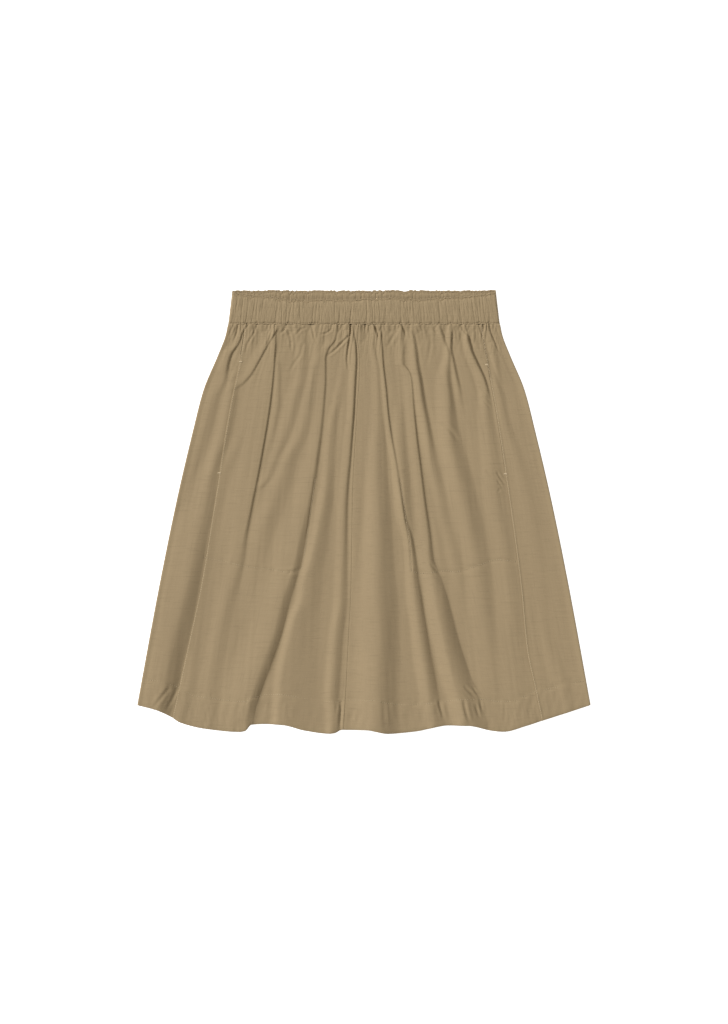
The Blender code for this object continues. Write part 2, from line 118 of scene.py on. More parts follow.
# %% Lay the folds
FOLDS = {
    "hip_crease": (
        (0, -157.5, 0.6, 3, 9, 0.9), (13, -163.5, 1.5, 3, 10, 0.9), (27, -169.5, 1.8, 3.2, 12, 0.9),
        (40, -178, 2.4, 4, 14, 0.9), (54, -182, 2.6, 4.5, 16, 0.85), (74, -185, 1.8, 6, 18, 0.6),
        (101, -193, 1.8, 11, 20, 0.3), (128, -200, 1.7, 12, 22, 0.3), (155, -207.5, 1.5, 13, 22, 0.3),
        (196, -219, 0.9, 14, 22, 0.3), (290, -240, 0.4, 14, 22, 0.3), (330, -250, 0, 14, 22, 0.3),
    ),
    "pocket_crease": (
        (5, -115, 1, 2.2, 11, 0.9), (27, -129, 1.5, 2.5, 13, 0.9), (47, -140, 1.7, 2.5, 16, 0.9),
        (68, -152, 1.6, 2.6, 16, 0.9), (80, -163, 1.1, 2.6, 16, 0.9), (90, -178, 0, 3, 14, 0.8),
    ),
    "pocket_hollow": (
        (60, -160, 0, 10, 14, 0.1), (74, -168, 0.9, 11, 14, 0.1), (101, -169, 1.2, 12, 16, 0.1),
        (128, -173, 1.3, 12, 16, 0.1), (155, -178, 1.3, 12, 16, 0.1), (182, -188, 1.1, 12, 16, 0.1),
        (209, -195, 0.5, 12, 16, 0.1), (236, -200, 0, 12, 16, 0.1),
    ),
    "left_low": (
        (140, -160, 0, 10, 12, 0.1), (155, -161, 0.6, 11, 12, 0.1), (182, -170, 1, 12, 14, 0.1),
        (209, -178, 0.8, 14, 16, 0.1), (263, -190, 0.6, 16, 16, 0.1), (317, -198, 0.7, 16, 16, 0.1),
        (371, -208, 0.8, 16, 16, 0.1), (425, -218, 0.9, 14, 16, 0.1), (479, -224, 1, 12, 16, 0.1),
        (526, -236, 1.1, 12, 16, 0.1), (553, -240, 1.1, 12, 16, 0.1),
    ),
    "left_middle": (
        (4, -117, 0.4, 3, 11, 0.9), (20, -118, 1.2, 2.5, 13, 0.9), (34, -119, 1.6, 2.4, 19, 0.9),
        (68, -121.5, 1.8, 2.4, 27, 0.9), (101, -125, 1.8, 2.4, 32, 0.9), (142, -131, 1.9, 2.6, 35, 0.9),
        (193, -140, 1.9, 3, 35, 0.9), (250, -151, 1.9, 3.8, 32, 0.85), (290, -158, 1.9, 6, 27, 0.75),
        (324, -162, 1.8, 9, 22, 0.6), (371, -173, 1.7, 12, 18, 0.4), (425, -182.5, 1.5, 15, 16, 0.3),
        (479, -193, 1.3, 15, 16, 0.3), (553, -203, 0.9, 15, 16, 0.3),
    ),
    "left_small": (
        (41, -114, 0, 4, 7, 0.4), (63, -112, 0.8, 4, 8, 0.4), (101, -112, 1, 5, 8, 0.4),
        (128, -116, 0.9, 5, 8, 0.4), (155, -121, 0.6, 5, 8, 0.4), (180, -127, 0, 5, 8, 0.4),
    ),
    "left_soft": (
        (14, -78, 0.6, 6, 10, 0.3), (34, -75, 1.3, 8, 11, 0.3), (68, -75.5, 1.5, 10, 13, 0.3),
        (101, -84, 1.5, 11, 14, 0.3), (128, -91, 1.4, 11, 14, 0.3), (155, -101, 1.4, 10, 14, 0.3),
        (182, -113, 1.2, 8, 12, 0.4), (209, -126, 1, 6, 11, 0.6), (220, -137, 0.6, 4, 11, 0.8),
        (226, -143, 0, 4, 11, 0.8),
    ),
    "left_inner": (
        (10, -52, 0.4, 4, 6, 0.5), (34, -55, 1, 7, 8, 0.4), (54, -58, 1.2, 8, 9, 0.3),
        (101, -65.5, 1.3, 10, 11, 0.3), (128, -70, 1.4, 11, 12, 0.3), (155, -77.5, 1.7, 12, 13, 0.3),
        (182, -89, 2, 15, 15, 0.3), (209, -96, 2.1, 17, 17, 0.3), (236, -103, 2, 19, 19, 0.2),
        (263, -113, 1.8, 20, 20, 0.2), (290, -122, 1.3, 20, 20, 0.2), (330, -130, 0.7, 20, 20, 0.2),
        (371, -135, 0.7, 16, 18, 0.2), (410, -140, 0, 16, 18, 0.2),
    ),
    "left_deep": (
        (0, -33, 0.8, 3, 10, 0.9), (20, -38, 1.2, 3, 11, 0.9), (34, -47.5, 1.6, 3, 12, 0.9),
        (47, -51, 1.6, 2.8, 14, 0.9), (74, -51, 1.5, 2.8, 16, 0.85), (101, -52.5, 1.5, 3.2, 16, 0.8),
        (142, -56, 1.8, 4.2, 16, 0.8), (182, -61, 2.2, 5, 19, 0.75), (236, -68, 2.4, 7.5, 27, 0.7),
        (263, -73, 2.6, 9, 32, 0.65), (290, -79, 3, 10, 38, 0.65), (331, -87, 3.9, 11, 43, 0.65),
        (371, -98.5, 4.9, 13, 44, 0.7), (419, -110.6, 5.1, 13.5, 44, 0.75),
        (459, -124.6, 5.3, 14, 44, 0.8), (500, -139.7, 5.2, 13, 44, 0.8), (526, -147, 4, 12, 44, 0.7),
        (540, -149, 3.2, 12, 44, 0.6),
    ),
    "left_wave": (
        (74, -25.5, 0.6, 7, 7, 0.4), (101, -29, 1.1, 8, 8, 0.4), (128, -34.5, 1.4, 8, 8, 0.4),
        (155, -36.5, 1.4, 9, 9, 0.4), (182, -37.5, 1.5, 10, 9, 0.4), (209, -39.5, 1.9, 11, 10, 0.4),
        (236, -41.5, 2.8, 13, 11, 0.4), (263, -45, 2.9, 14, 11, 0.3), (290, -47.5, 3.1, 17, 11, 0.2),
        (317, -51, 3.3, 20, 11, 0.2), (344, -55, 3.5, 24, 11, 0.2), (371, -56, 3.7, 27, 11, 0.2),
        (398, -61, 4, 33, 11, 0.2), (425, -62, 4.1, 39, 11, 0.2), (452, -62, 4.2, 45, 11, 0.2),
        (493, -61, 4.2, 52, 11, 0.2), (553, -65, 4.2, 52, 11, 0.2),
    ),
    "centre_left": (
        (6, -14, 0.3, 2.4, 7, 0.9), (14, -12.8, 1, 2.2, 7, 0.9), (27, -10.5, 1.6, 2.2, 8, 0.9),
        (45, -9.5, 2, 2.6, 8, 0.9), (81, -11, 2.2, 3, 9.5, 0.9), (122, -13, 2.3, 3.2, 9.5, 0.9),
        (155, -15.5, 2.2, 3.5, 11, 0.85), (182, -17.5, 2, 3.6, 11, 0.85), (209, -20, 1.8, 4, 11, 0.85),
        (250, -22.5, 1.7, 4.6, 11, 0.85), (304, -23, 1.7, 6, 11, 0.75), (371, -23, 2, 9, 11, 0.65),
        (425, -28.5, 2.5, 11, 11, 0.7), (479, -32, 2.9, 11, 11, 0.75), (506, -33.5, 3, 11, 11, 0.75),
        (526, -31.5, 3, 11, 11, 0.75), (553, -33, 3, 11, 11, 0.75),
    ),
    "centre_soft": (
        (27, 14, 0.6, 3.4, 8, 0.7), (55, 20, 0.9, 3.4, 8, 0.7), (88, 23.5, 1.1, 5, 11, 0.6),
        (128, 28, 1.8, 9, 13, 0.6), (155, 29.5, 2.6, 12, 14, 0.65), (182, 31, 3.1, 14, 16, 0.65),
        (209, 33, 3.8, 16, 18, 0.6), (236, 35.5, 4.5, 18, 20, 0.6), (263, 37, 5.1, 19, 22, 0.55),
        (290, 39, 5.4, 21, 25, 0.45), (317, 41, 5.8, 23, 28, 0.4), (344, 43, 6.3, 25, 30, 0.35),
        (371, 46.5, 7.2, 28, 34, 0.3), (425, 48.5, 8, 30, 36, 0.3), (479, 48, 8.3, 31, 36, 0.3),
        (553, 47, 8.3, 31, 36, 0.3),
    ),
    "right_deep": (
        (7, 23.5, 0.8, 2, 5.4, 0.9), (27, 25, 1.4, 2.2, 6.8, 0.9), (54, 27, 1.7, 2.4, 8, 0.9),
        (88, 31, 1.8, 2.6, 8, 0.9), (117, 33.5, 1.8, 2.6, 7, 0.9), (155, 39, 1.7, 2.8, 7, 0.9),
        (182, 44, 1.6, 3.2, 7, 0.7), (209, 48.5, 1.5, 3.6, 8, 0.6), (236, 52.5, 1.4, 3.8, 8, 0.6),
        (263, 58, 1.5, 4.2, 8, 0.7), (290, 66, 2.1, 5, 9.5, 0.85), (317, 70.5, 2.8, 6.5, 11, 0.85),
        (344, 74, 3.4, 8, 12, 0.85), (371, 79, 4.3, 10, 13.5, 0.85), (405, 84.5, 4.6, 11, 13.5, 0.85),
        (439, 90, 4.8, 12, 15, 0.85), (479, 97.5, 4.6, 13, 16, 0.8), (506, 102, 3.6, 13, 16, 0.7),
        (540, 109, 2.8, 14, 16, 0.6),
    ),
    "right_middle": (
        (101, 54, 0, 8, 8, 0.5), (128, 56, 1.1, 9, 10, 0.5), (155, 58.5, 1.9, 11, 12, 0.5),
        (182, 60.5, 2.4, 12, 13, 0.5), (209, 62.5, 2.8, 12, 14, 0.5), (236, 63.5, 2.8, 12, 14, 0.5),
        (263, 65.5, 2.3, 12, 12, 0.5), (290, 68, 1.3, 9, 9, 0.6), (317, 70, 0, 8, 6, 0.6),
    ),
    "right_short": (
        (20, 55.5, 0.6, 4.7, 8, 0.4), (53, 55.5, 1.5, 4.7, 9.5, 0.4), (58, 58.5, 1.3, 3, 9.5, 0.8),
        (63, 62, 1.4, 2.4, 11, 0.9), (74, 65, 1.5, 2.4, 12, 0.9), (101, 67.5, 1.7, 2.6, 13.5, 0.9),
        (142, 71.5, 1.9, 2.9, 15, 0.9), (193, 78, 2.1, 3.3, 15, 0.85), (236, 83.5, 2.3, 3.8, 15, 0.85),
        (284, 90.5, 2.7, 5.2, 16, 0.85), (317, 94.5, 3.4, 7, 16, 0.75), (344, 105, 4.1, 12, 16, 0.75),
        (371, 114, 5.6, 17, 17.5, 0.8), (398, 121, 6.6, 19, 19, 0.85), (425, 128, 7.4, 20, 19, 0.85),
        (452, 136.5, 7.8, 22, 19, 0.8), (479, 146, 8, 25, 19, 0.7), (506, 158, 7.8, 29, 19, 0.55),
        (540, 167, 7.2, 31, 19, 0.5),
    ),
    "right_upper": (
        (11, 66.5, 1.2, 2.4, 5.4, 0.9), (20, 69, 2, 2.8, 7, 0.9), (34, 71.5, 2.8, 3.6, 9, 0.9),
        (54, 74, 3.3, 4.4, 11, 0.9), (74, 78, 3.6, 5, 12, 0.9), (101, 82, 3.7, 5.4, 12, 0.9),
        (128, 87.5, 3.4, 6, 12, 0.85), (155, 93, 3.1, 7, 12, 0.75), (182, 98.5, 2.3, 9, 9.5, 0.5),
        (209, 107, 1.8, 11, 11, 0.3), (236, 115, 1.5, 12, 11, 0.3), (263, 119.5, 1.3, 12, 11, 0.3),
        (290, 128, 1.1, 13, 11, 0.3), (317, 133, 1, 13, 11, 0.3), (344, 141, 0.5, 13, 11, 0.3),
        (371, 146, 0, 13, 11, 0.3),
    ),
    "right_soft": (
        (4, 103.5, 1.3, 2, 5.4, 0.9), (20, 109.5, 1.6, 2.2, 6.8, 0.9), (41, 116, 2, 3, 8, 0.8),
        (68, 117.5, 3.1, 6.4, 15, 0.5), (101, 121.5, 3.7, 8, 20, 0.5), (128, 126, 4.2, 12, 21, 0.4),
        (162, 134.5, 4.8, 19, 19, 0.3), (196, 144.5, 5.2, 20, 22, 0.3), (236, 155, 5, 22, 24, 0.3),
        (277, 164, 4.2, 22, 24, 0.3), (317, 171, 3.1, 19, 24, 0.3), (371, 175, 2.5, 16, 24, 0.3),
        (425, 183, 1.6, 17.5, 24, 0.3), (493, 190, 0.8, 20, 24, 0.3), (553, 195, 0, 20, 24, 0.3),
    ),
    "right_crease": (
        (0, 119.5, 1.6, 2.2, 5.4, 0.9), (31, 118.5, 2.6, 2.6, 8, 0.9), (47, 122, 2.5, 3, 10, 0.9),
        (72, 127.5, 2.2, 3.6, 8, 0.85), (88, 131.5, 1.4, 4.2, 8, 0.6), (101, 134, 0.9, 5, 8, 0.4),
        (121, 139.5, 0.4, 5.4, 8, 0.4), (142, 144, 0, 5.4, 8, 0.4),
    ),
    "pocket_fold": (
        (7, 139, 1.2, 2.6, 6.8, 0.9), (20, 142.5, 2.8, 3.4, 8, 0.9), (34, 146.5, 3.4, 3.8, 10, 0.9),
        (54, 155.5, 3.3, 3.8, 12, 0.9), (74, 164.5, 2.9, 3.8, 12, 0.9), (88, 168.5, 2.4, 4.2, 12, 0.85),
        (101, 171.5, 2.4, 8, 12, 0.7), (128, 176, 2.3, 11, 13.5, 0.5), (155, 182, 2.4, 14, 15, 0.4),
        (182, 187, 2.4, 16, 16, 0.3), (209, 191, 2.4, 17, 18, 0.3), (250, 197, 2.2, 18, 20, 0.3),
        (290, 205.5, 2.1, 18, 21, 0.3), (331, 212, 2.1, 19, 22, 0.3), (371, 218, 1.9, 20, 24, 0.3),
        (439, 221, 1.5, 24, 24, 0.3), (553, 238, 1.2, 27, 27, 0.3),
    ),
    "right_hip": (
        (27, 180, 0.8, 7, 8, 0.2), (74, 187, 1.5, 8, 9.5, 0.2), (101, 192.5, 1.5, 9.5, 11, 0.2),
        (128, 198, 1.5, 11, 12, 0.2), (155, 208, 1.2, 12, 14, 0.2), (182, 219, 1, 13.5, 15, 0.2),
        (223, 231, 0.8, 14, 16, 0.2), (290, 243, 0.7, 15, 17, 0.2), (331, 248, 0.4, 15, 17, 0.2),
        (398, 254, 0.5, 12, 16, 0.3), (425, 259, 0.9, 12, 16, 0.4), (479, 277, 1.1, 12, 16, 0.4),
        (506, 284, 0.9, 12, 16, 0.4), (553, 294, 0.7, 12, 16, 0.4),
    ),
    "left_seam": (
        (155, -185, 0.4, 12, 16, 0.3), (182, -191, 1.4, 12, 18, 0.5), (209, -198, 2.3, 13, 22, 0.6),
        (236, -202, 3, 14, 28, 0.7), (263, -206.5, 3.7, 16, 36, 0.7), (290, -211.5, 4.6, 17, 46, 0.7),
        (317, -216, 5.4, 17, 56, 0.7), (344, -220.5, 6.1, 18, 66, 0.65), (371, -225.5, 6.8, 20, 76, 0.65),
        (398, -231, 7.5, 22, 80, 0.6), (425, -237, 8, 23, 80, 0.6), (452, -243, 8.2, 23, 80, 0.6),
        (479, -249, 8.2, 23, 80, 0.65), (506, -256, 7.6, 21, 80, 0.6), (528, -261, 7, 20, 80, 0.5),
        (553, -266, 6.4, 20, 80, 0.5),
    ),
}
FADE_ABOVE = 16  # a fold that starts lower down fades in over this length
TOE_SHARE = 0.3  # beyond a sharp crease the cloth goes on falling a little, and comes up again gently


def fold_height(rows, x, drop):
    """How far one fold lifts the cloth at x and drop."""
    drops, *columns = np.array(rows, float).T
    crease_x, height, fall, rise, sharpness = [smooth(drop, drops, column) for column in columns]
    above = drops[0] - drop
    height = np.where(above > 0, height * np.clip(1 - above / FADE_ABOVE, 0, 1), height)
    past = x - crease_x
    share = np.clip(-past / fall, 0, 1)
    steep = (1 - sharpness) * ease(share) + sharpness * (1 - (1 - share) ** 2)
    gentle = ease((past + fall + rise) / rise)
    beyond = np.clip(past, 0, None)
    toe = -2 * sharpness * beyond / fall * np.exp(-beyond / np.clip(TOE_SHARE * fall, 0.8, 4.5))
    toe = toe * np.clip(1.5 - fall / 10, 0.35, 1)
    shape = np.where(past > 0, toe, np.where(-past <= fall, steep, gentle))
    return np.maximum(height, 0) * shape


print(len(FOLDS), "folds laid by hand")

# %% [markdown]
# ## Small creases
# Under the band each pleat of the gathering starts as a short, sharp trough with swollen banks. More such
# puckers pull at the hem and along the bottoms of the pocket bags. A stroke is a depth, half the width of
# its trough, and the points it runs through, as x and drop.

# %% Lay the small creases
STROKES = (
    (1.0, 1.6, ((-175, -1), (-181.5, 12), (-185.5, 22))),
    (0.7, 1.6, ((-169, 2), (-172.5, 14), (-177, 24))),
    (0.8, 1.5, ((-154.5, -3), (-161, 7), (-165, 15))),
    (0.9, 1.6, ((-144, -1), (-150.5, 15), (-157.5, 27), (-160, 39))),
    (0.6, 1.6, ((-123.5, 7), (-129, 22), (-134.5, 32))),
    (1.6, 1.7, ((-104.5, -1), (-106.5, 5), (-114, 13.5))),
    (1.4, 1.6, ((-103.5, 4), (-99, 20), (-98, 36))),
    (0.8, 1.4, ((-79, 4), (-87, 8), (-92.5, 15))),
    (0.8, 1.4, ((-87, 6), (-90.5, 15))),
    (0.5, 2.1, ((-83, 27), (-85.5, 40), (-92.5, 50), (-102, 66))),
    (1.2, 1.6, ((-71, 0), (-68, 13.5), (-65.5, 23))),
    (0.9, 1.5, ((-44, 7), (-52, 12), (-60, 13.5))),
    (1.3, 1.8, ((-21, 16), (-32, 27), (-40, 35), (-49.5, 42))),
    (1.5, 1.7, ((-17, -2), (-18.5, 14), (-21.5, 34), (-22.5, 47), (-21.5, 61))),
    (0.5, 1.4, ((2, -4), (2, 12))),
    (1.5, 1.7, ((13, 0), (17, 7), (19.5, 17.5))),
    (0.7, 1.5, ((27.5, 0), (29, 8))),
    (0.7, 2.4, ((45, 5), (40, 15), (30.5, 31))),
    (1.2, 1.6, ((50.5, 0), (54.5, 7), (57.5, 17.5))),
    (1.4, 1.6, ((61.5, 0), (61.5, 11), (65.5, 23))),
    (1.1, 1.6, ((71, 3), (75, 10), (77, 22))),
    (1.1, 1.6, ((78.5, 0), (79, 12), (81, 22))),
    (0.6, 2.2, ((87, 7), (90, 20), (88.5, 36), (84.5, 55))),
    (1.3, 1.5, ((99, 0), (95.5, 7), (100, 12))),
    (0.7, 1.6, ((123.5, 4), (125, 15), (126, 23))),
    (1.3, 1.7, ((130.5, 0), (135.5, 9), (141, 15))),
    (0.7, 1.7, ((144, 16), (146.5, 28), (154.5, 35))),
    (0.9, 1.5, ((156, -1), (157.5, 8), (161.5, 20))),
    (0.8, 1.4, ((161.5, -1), (161.5, 8))),
    (0.9, 1.7, ((169.5, 0), (172, 11), (176, 20), (183, 38))),
    (0.7, 1.8, ((177.5, 3), (184, 17.5), (191, 34))),
    (0.6, 1.6, ((155, 78), (166.5, 88))),
    (0.6, 1.6, ((157, 85), (168, 96))),
    (0.6, 1.5, ((160.5, 96), (171, 103))),
    (0.5, 1.5, ((162.5, 105), (171, 112))),
    (0.7, 3.0, ((106, 135), (117, 143), (127, 158))),
    (0.5, 2.6, ((166, 199), (172, 203), (181, 204))),
    (0.8, 1.6, ((180, 200), (184, 207), (189.5, 214))),
    (0.7, 1.5, ((181, 212), (187, 219))),
    (0.6, 1.5, ((180.5, 226), (185, 222), (189, 223))),
    (0.6, 4.0, ((162.5, 17.5), (169.5, 42), (179, 69), (188.5, 93))),
    (1.1, 2.4, ((-263, 491), (-274.5, 505), (-284, 517))),
    (0.8, 2.2, ((-253, 494), (-259.5, 507), (-267, 521))),
    (0.7, 2.1, ((-135.8, 511), (-138, 522), (-141, 536))),
    (0.7, 2.1, ((-125.3, 506), (-125, 533))),
    (0.7, 2.2, ((-111, 508), (-110.8, 537))),
    (0.7, 2.2, ((-101, 514), (-103, 524), (-99, 536))),
    (1.1, 2.2, ((-30.8, 511), (-31.5, 528), (-33, 548))),
    (0.7, 1.9, ((-37, 513), (-37, 525))),
    (0.8, 2.1, ((-14.3, 518), (-17, 530), (-19.5, 545))),
    (0.7, 2.1, ((-4.7, 522), (-12.4, 544))),
    (0.5, 2.0, ((4.7, 531), (0.5, 546))),
    (1.0, 2.2, ((26.5, 510), (27, 525), (28, 545))),
    (0.4, 2.2, ((34, 512), (35, 530))),
    (1.2, 2.0, ((101.4, 509), (104, 520), (107.5, 531))),
    (0.8, 2.0, ((112, 512), (116, 533))),
    (1.6, 2.4, ((135, 508), (137, 520), (142, 536))),
    (1.0, 2.3, ((151, 515), (155.5, 530))),
    (0.8, 2.0, ((157, 509), (159.5, 523))),
    (0.9, 2.0, ((136, 489), (145, 498), (153, 504))),
    (0.7, 1.8, ((147, 490), (155, 502))),
    (0.4, 2.2, ((190, 512), (190, 536))),
    (0.6, 2.1, ((-177.5, 321), (-161.5, 325))),
    (0.5, 2.4, ((-102, 335), (-85.5, 331))),
    (0.6, 2.0, ((68, 332), (81.5, 333.5))),
    (0.7, 2.1, ((91, 325), (100.5, 333.5), (111.5, 335))),
)


def curve_through(points, steps_each=4):
    points = np.array(points, float)
    if len(points) < 3:
        return points
    place = np.arange(len(points))
    at = np.linspace(0, len(points) - 1, steps_each * (len(points) - 1) + 1)
    return np.stack([smooth(at, place, points[:, 0]), smooth(at, place, points[:, 1])], axis=1)


def near_line(line, x, drop):
    """How far each point lies from a line, and how far along the line that is, from 0 to 1."""
    step = np.diff(line, axis=0)
    length = np.hypot(step[:, 0], step[:, 1])
    start = np.concatenate([[0], np.cumsum(length)])
    nearest = np.full(x.shape, 1e9)
    along = np.zeros(x.shape)
    for i, (dx, dy) in enumerate(step):
        share = ((x - line[i, 0]) * dx + (drop - line[i, 1]) * dy) / length[i] ** 2
        share = np.clip(share, 0, 1)
        away = np.hypot(x - line[i, 0] - share * dx, drop - line[i, 1] - share * dy)
        closer = away < nearest
        nearest = np.where(closer, away, nearest)
        along = np.where(closer, (start[i] + share * length[i]) / start[-1], along)
    return nearest, along


# Where the gathers bunch into knots along the waist seam and along the front band's top edge: x and width.
SEAM_KNOTS = (
    (-144, 1.5), (-134, 2.5), (-120, 3), (-101, 3.5), (-68, 4), (-34, 2), (-18, 2), (2, 2), (14, 2.5),
    (28, 2), (50.5, 2), (61.5, 2), (77.5, 1.8), (102, 2), (118, 2), (141, 2), (156.5, 2.5), (169.5, 1.5),
)
TOP_KNOTS = (
    (-152, 1.5), (-111.5, 2), (-99, 1.6), (-94, 1.5), (-77, 5), (-37, 2), (-18, 2), (10, 2), (18, 2),
    (26, 2), (55, 5), (74, 2), (104, 2), (131, 2),
)


def knotted(knots, x):
    """1 in the middle of each knot, fading to 0 at its width."""
    tied = np.zeros(np.shape(x))
    for middle, width in knots:
        tied = np.maximum(tied, np.exp(-(((x - middle) / width) ** 2)))
    return tied


def stroke_height(stroke, x, drop):
    """A short trough with a swollen bank along each side."""
    depth, width, points = stroke
    line = curve_through(points)
    height = np.zeros(np.shape(x))
    low = line.min(axis=0) - 6 * width
    high = line.max(axis=0) + 6 * width
    near = (x > low[0]) & (x < high[0]) & (drop > low[1]) & (drop < high[1])
    if not near.any():
        return height
    nearest, along = near_line(line, x[near], drop[near])
    across = nearest / width * 1.5
    taper = np.sin(np.pi * np.clip(0.15 + 0.85 * along, 0, 1)) ** 0.6
    bank = 0.45 * np.exp(-(((across - 2.4) / 1.3) ** 2))
    height[near] = 1.2 * depth * taper * (bank - np.exp(-(across**1.3)))
    return height


print(len(STROKES), "small creases")

# %% [markdown]
# ## Rumple
# Washed poplin is never quite smooth. Streaks run down along the yarns and fan out with the skirt, and
# the gathering makes them crowd and deepen at the waist. They come from a seeded table of numbers, so
# every run gives the same cloth.

# %% Streaks along the cloth
luck = np.random.default_rng(7)
LATTICE_SIZE = 64
LATTICE = luck.uniform(-1, 1, (LATTICE_SIZE, LATTICE_SIZE))
GATHER_REACH = 26  # the gathering's swell dies away over this length
# Each size of streak: height, how many to a step of the fan, start across, length, and start down.
STREAKS = ((0.35, 0.8, 3, 150, 0), (0.12, 2.1, 9, 60, 4), (0.04, 5, 1, 24, 8))


def lattice_noise(u, v):
    """Smooth values between -1 and 1 that change once a unit along u and v."""
    i = np.floor(u).astype(int)
    j = np.floor(v).astype(int)
    a = ease(u - i)
    b = ease(v - j)

    def at(p, q):
        return LATTICE[p % LATTICE_SIZE, q % LATTICE_SIZE]

    upper = at(i, j) * (1 - a) + at(i + 1, j) * a
    lower = at(i, j + 1) * (1 - a) + at(i + 1, j + 1) * a
    return upper * (1 - b) + lower * b


def rumple(x, drop, seed=0):
    """Long streaks everywhere, and crowded gathers near the waist seam."""
    fan = x / half_width(drop) * 30
    height = 0
    for high, often, start, length, shift in STREAKS:
        height = height + high * lattice_noise(fan * often + start + seed, drop / length + shift)
    gathered = np.exp(-((np.maximum(drop, 0) / GATHER_REACH) ** 1.3))
    gathers = 1.1 * lattice_noise(x / 6.1 + 20 + seed, drop / 48)
    fine = np.abs(lattice_noise((x + 0.12 * drop) / 2.7 + 40 + seed, drop / 17)) ** 0.6
    return height + gathered * (0.9 * gathers + 1.9 * fine - 1.1)


# %% [markdown]
# ## Seams, pockets and hem
# Sewing shapes the cloth too. A seam is a fine ditch with its turned-in allowance under one side, held
# down by a row of stitches. The pocket bags are stitched through to the front. The turned-up hem is a
# double layer that puckers between its stitches and its edge.

# %% The relief of the sewing
SEAM_DROPS = (10, 50, 115, 223, 358, 437, 490, 540)
LEFT_SEAM = (-161.5, -168, -181.5, -199, -221.5, -238.5, -250, -261)
CENTRE_SEAM = (-10, -5.5, -9, -15, -17.5, -21.5, -24, -27)
RIGHT_SEAM = (158, 165.5, 177.5, 194, 212, 219.5, 230.5, 241)
# The turned-in allowance: which side of the seam it lies on, the seam, its width, height and soft edge.
SEAM_LEDGES = (
    (1, LEFT_SEAM, 2.0, 0.22, 6.0), (1, RIGHT_SEAM, 1.8, 0.42, 1.6), (-1, CENTRE_SEAM, 2.0, 0.15, 1.3),
)
POCKET_MOUTH = (50, 201)  # the pocket opens between these drops
BAG_STITCH_DROPS = (195, 350)  # the bags' stitches lie between these
BACK_HEM_STITCHES = 39  # how far the back's hem stitches lie above its edge
HEM_LINE_X = (-306, -298, -280, -250, -230, -212, -191, -160, -153, -142, -132, -113, -86, -68, -56)
HEM_LINE_DROP = (478, 479, 480.5, 490, 501, 503.5, 507, 509, 503.5, 502, 499.5, 499.5, 503.5, 507.5, 509)
HEM_LINE_X += (-41, -35, -25, 16, 22, 49, 60, 103, 130, 157, 184, 198, 231, 252, 276, 292, 306)
HEM_LINE_DROP += (509, 510, 507, 507, 509, 513, 513, 510, 506, 506, 509, 509, 495.5, 491.5, 486, 482, 480)
# The stitched outlines of the pocket bags, as x and drop.
BAG_STITCHES = (
    ((-215, 314), (-204.5, 317), (-187, 320), (-165, 325.5), (-123.5, 331), (-104, 334), (-84, 330.5)),
    ((-84, 330.5), (-79, 300), (-72, 250), (-66, 209)),
    ((64, 333.5), (79, 336), (110, 332.5), (123.5, 334), (152, 326), (180, 317.5), (205.5, 320)),
    ((64, 333.5), (62, 300), (55.5, 255), (49, 209)),
)


def seam_x(seam, drop):
    return smooth(drop, SEAM_DROPS, seam)


def hem_line(x):
    return smooth(x, HEM_LINE_X, HEM_LINE_DROP)


def roll_share(x, drop):
    """Over the pocket mouths the side seams are pressed almost flush; elsewhere seams show fully."""
    return np.where(np.abs(x) > 100, 0.12 + 0.88 * ease((drop - 42) / 10), 1.0)


def seam_relief(x, drop):
    height = np.zeros(np.shape(x))
    for side, seam, ledge, rise, fall in SEAM_LEDGES:
        out = side * (x - seam_x(seam, drop))
        step = ease((out + 0.3) / 1.1) - ease((out - ledge) / fall)
        height = height + rise * roll_share(x, drop) * step
        pull = 0.14 * lattice_noise(drop / 2.9 + ledge, out / 9 + 20)
        height = height + pull * np.exp(-((out / 7) ** 2))
    return height


def pocket_relief(x, drop):
    """The pocket mouths stand a little open, and the bags' stitches sink into the front."""
    start, end = POCKET_MOUTH
    window = ease((drop - start) / 12) * ease((end - drop) / 12)
    height = np.zeros(np.shape(x))
    for side, seam in ((-1, LEFT_SEAM), (1, RIGHT_SEAM)):
        inside = -side * (x - seam_x(seam, drop))
        lip = np.where(inside >= 0, 0.5 * np.exp(-inside / 6), -0.25 * np.exp(inside / 3))
        height = height + window * lip
    near = (drop > BAG_STITCH_DROPS[0]) & (drop < BAG_STITCH_DROPS[1])
    if near.any():
        px = x[near]
        py = drop[near]
        sunk = np.zeros(px.shape)
        for path in BAG_STITCHES:
            away, along = near_line(curve_through(path), px, py)
            sunk -= 0.75 * np.exp(-((away / 1.2) ** 2))
            sunk += 0.2 * lattice_noise(along * 40 + py / 40, px / 50 + 9) * np.exp(-((away / 5) ** 2))
        height[near] += sunk
    return height


def hem_relief(x, drop):
    below = drop - hem_line(x)
    height = 0.35 * ease((below + 0.6) / 1.6) - 0.8 * np.exp(-((below / 1.1) ** 2))
    height = height - 0.3 * np.exp(-(((below + 4.5) / 1.2) ** 2))
    drag = 0.28 * lattice_noise((x + 0.3 * below) / 6.4, below / 34 + 50)
    drag = drag + 0.12 * lattice_noise((x - 0.2 * below) / 3.2 + 9, below / 14 + 30)
    height = height + drag * ease((below + 3) / 5)
    above = 0.16 * lattice_noise(x / 3.6 + 31, below / 12)
    height = height + above * np.exp(-(((below + 4) / 5) ** 2))
    return height - 0.5 * np.exp(-(((hem_drop(x) - drop) / 1.8) ** 2))


def hem_share(drop):
    return ease((drop - 440) / 60)


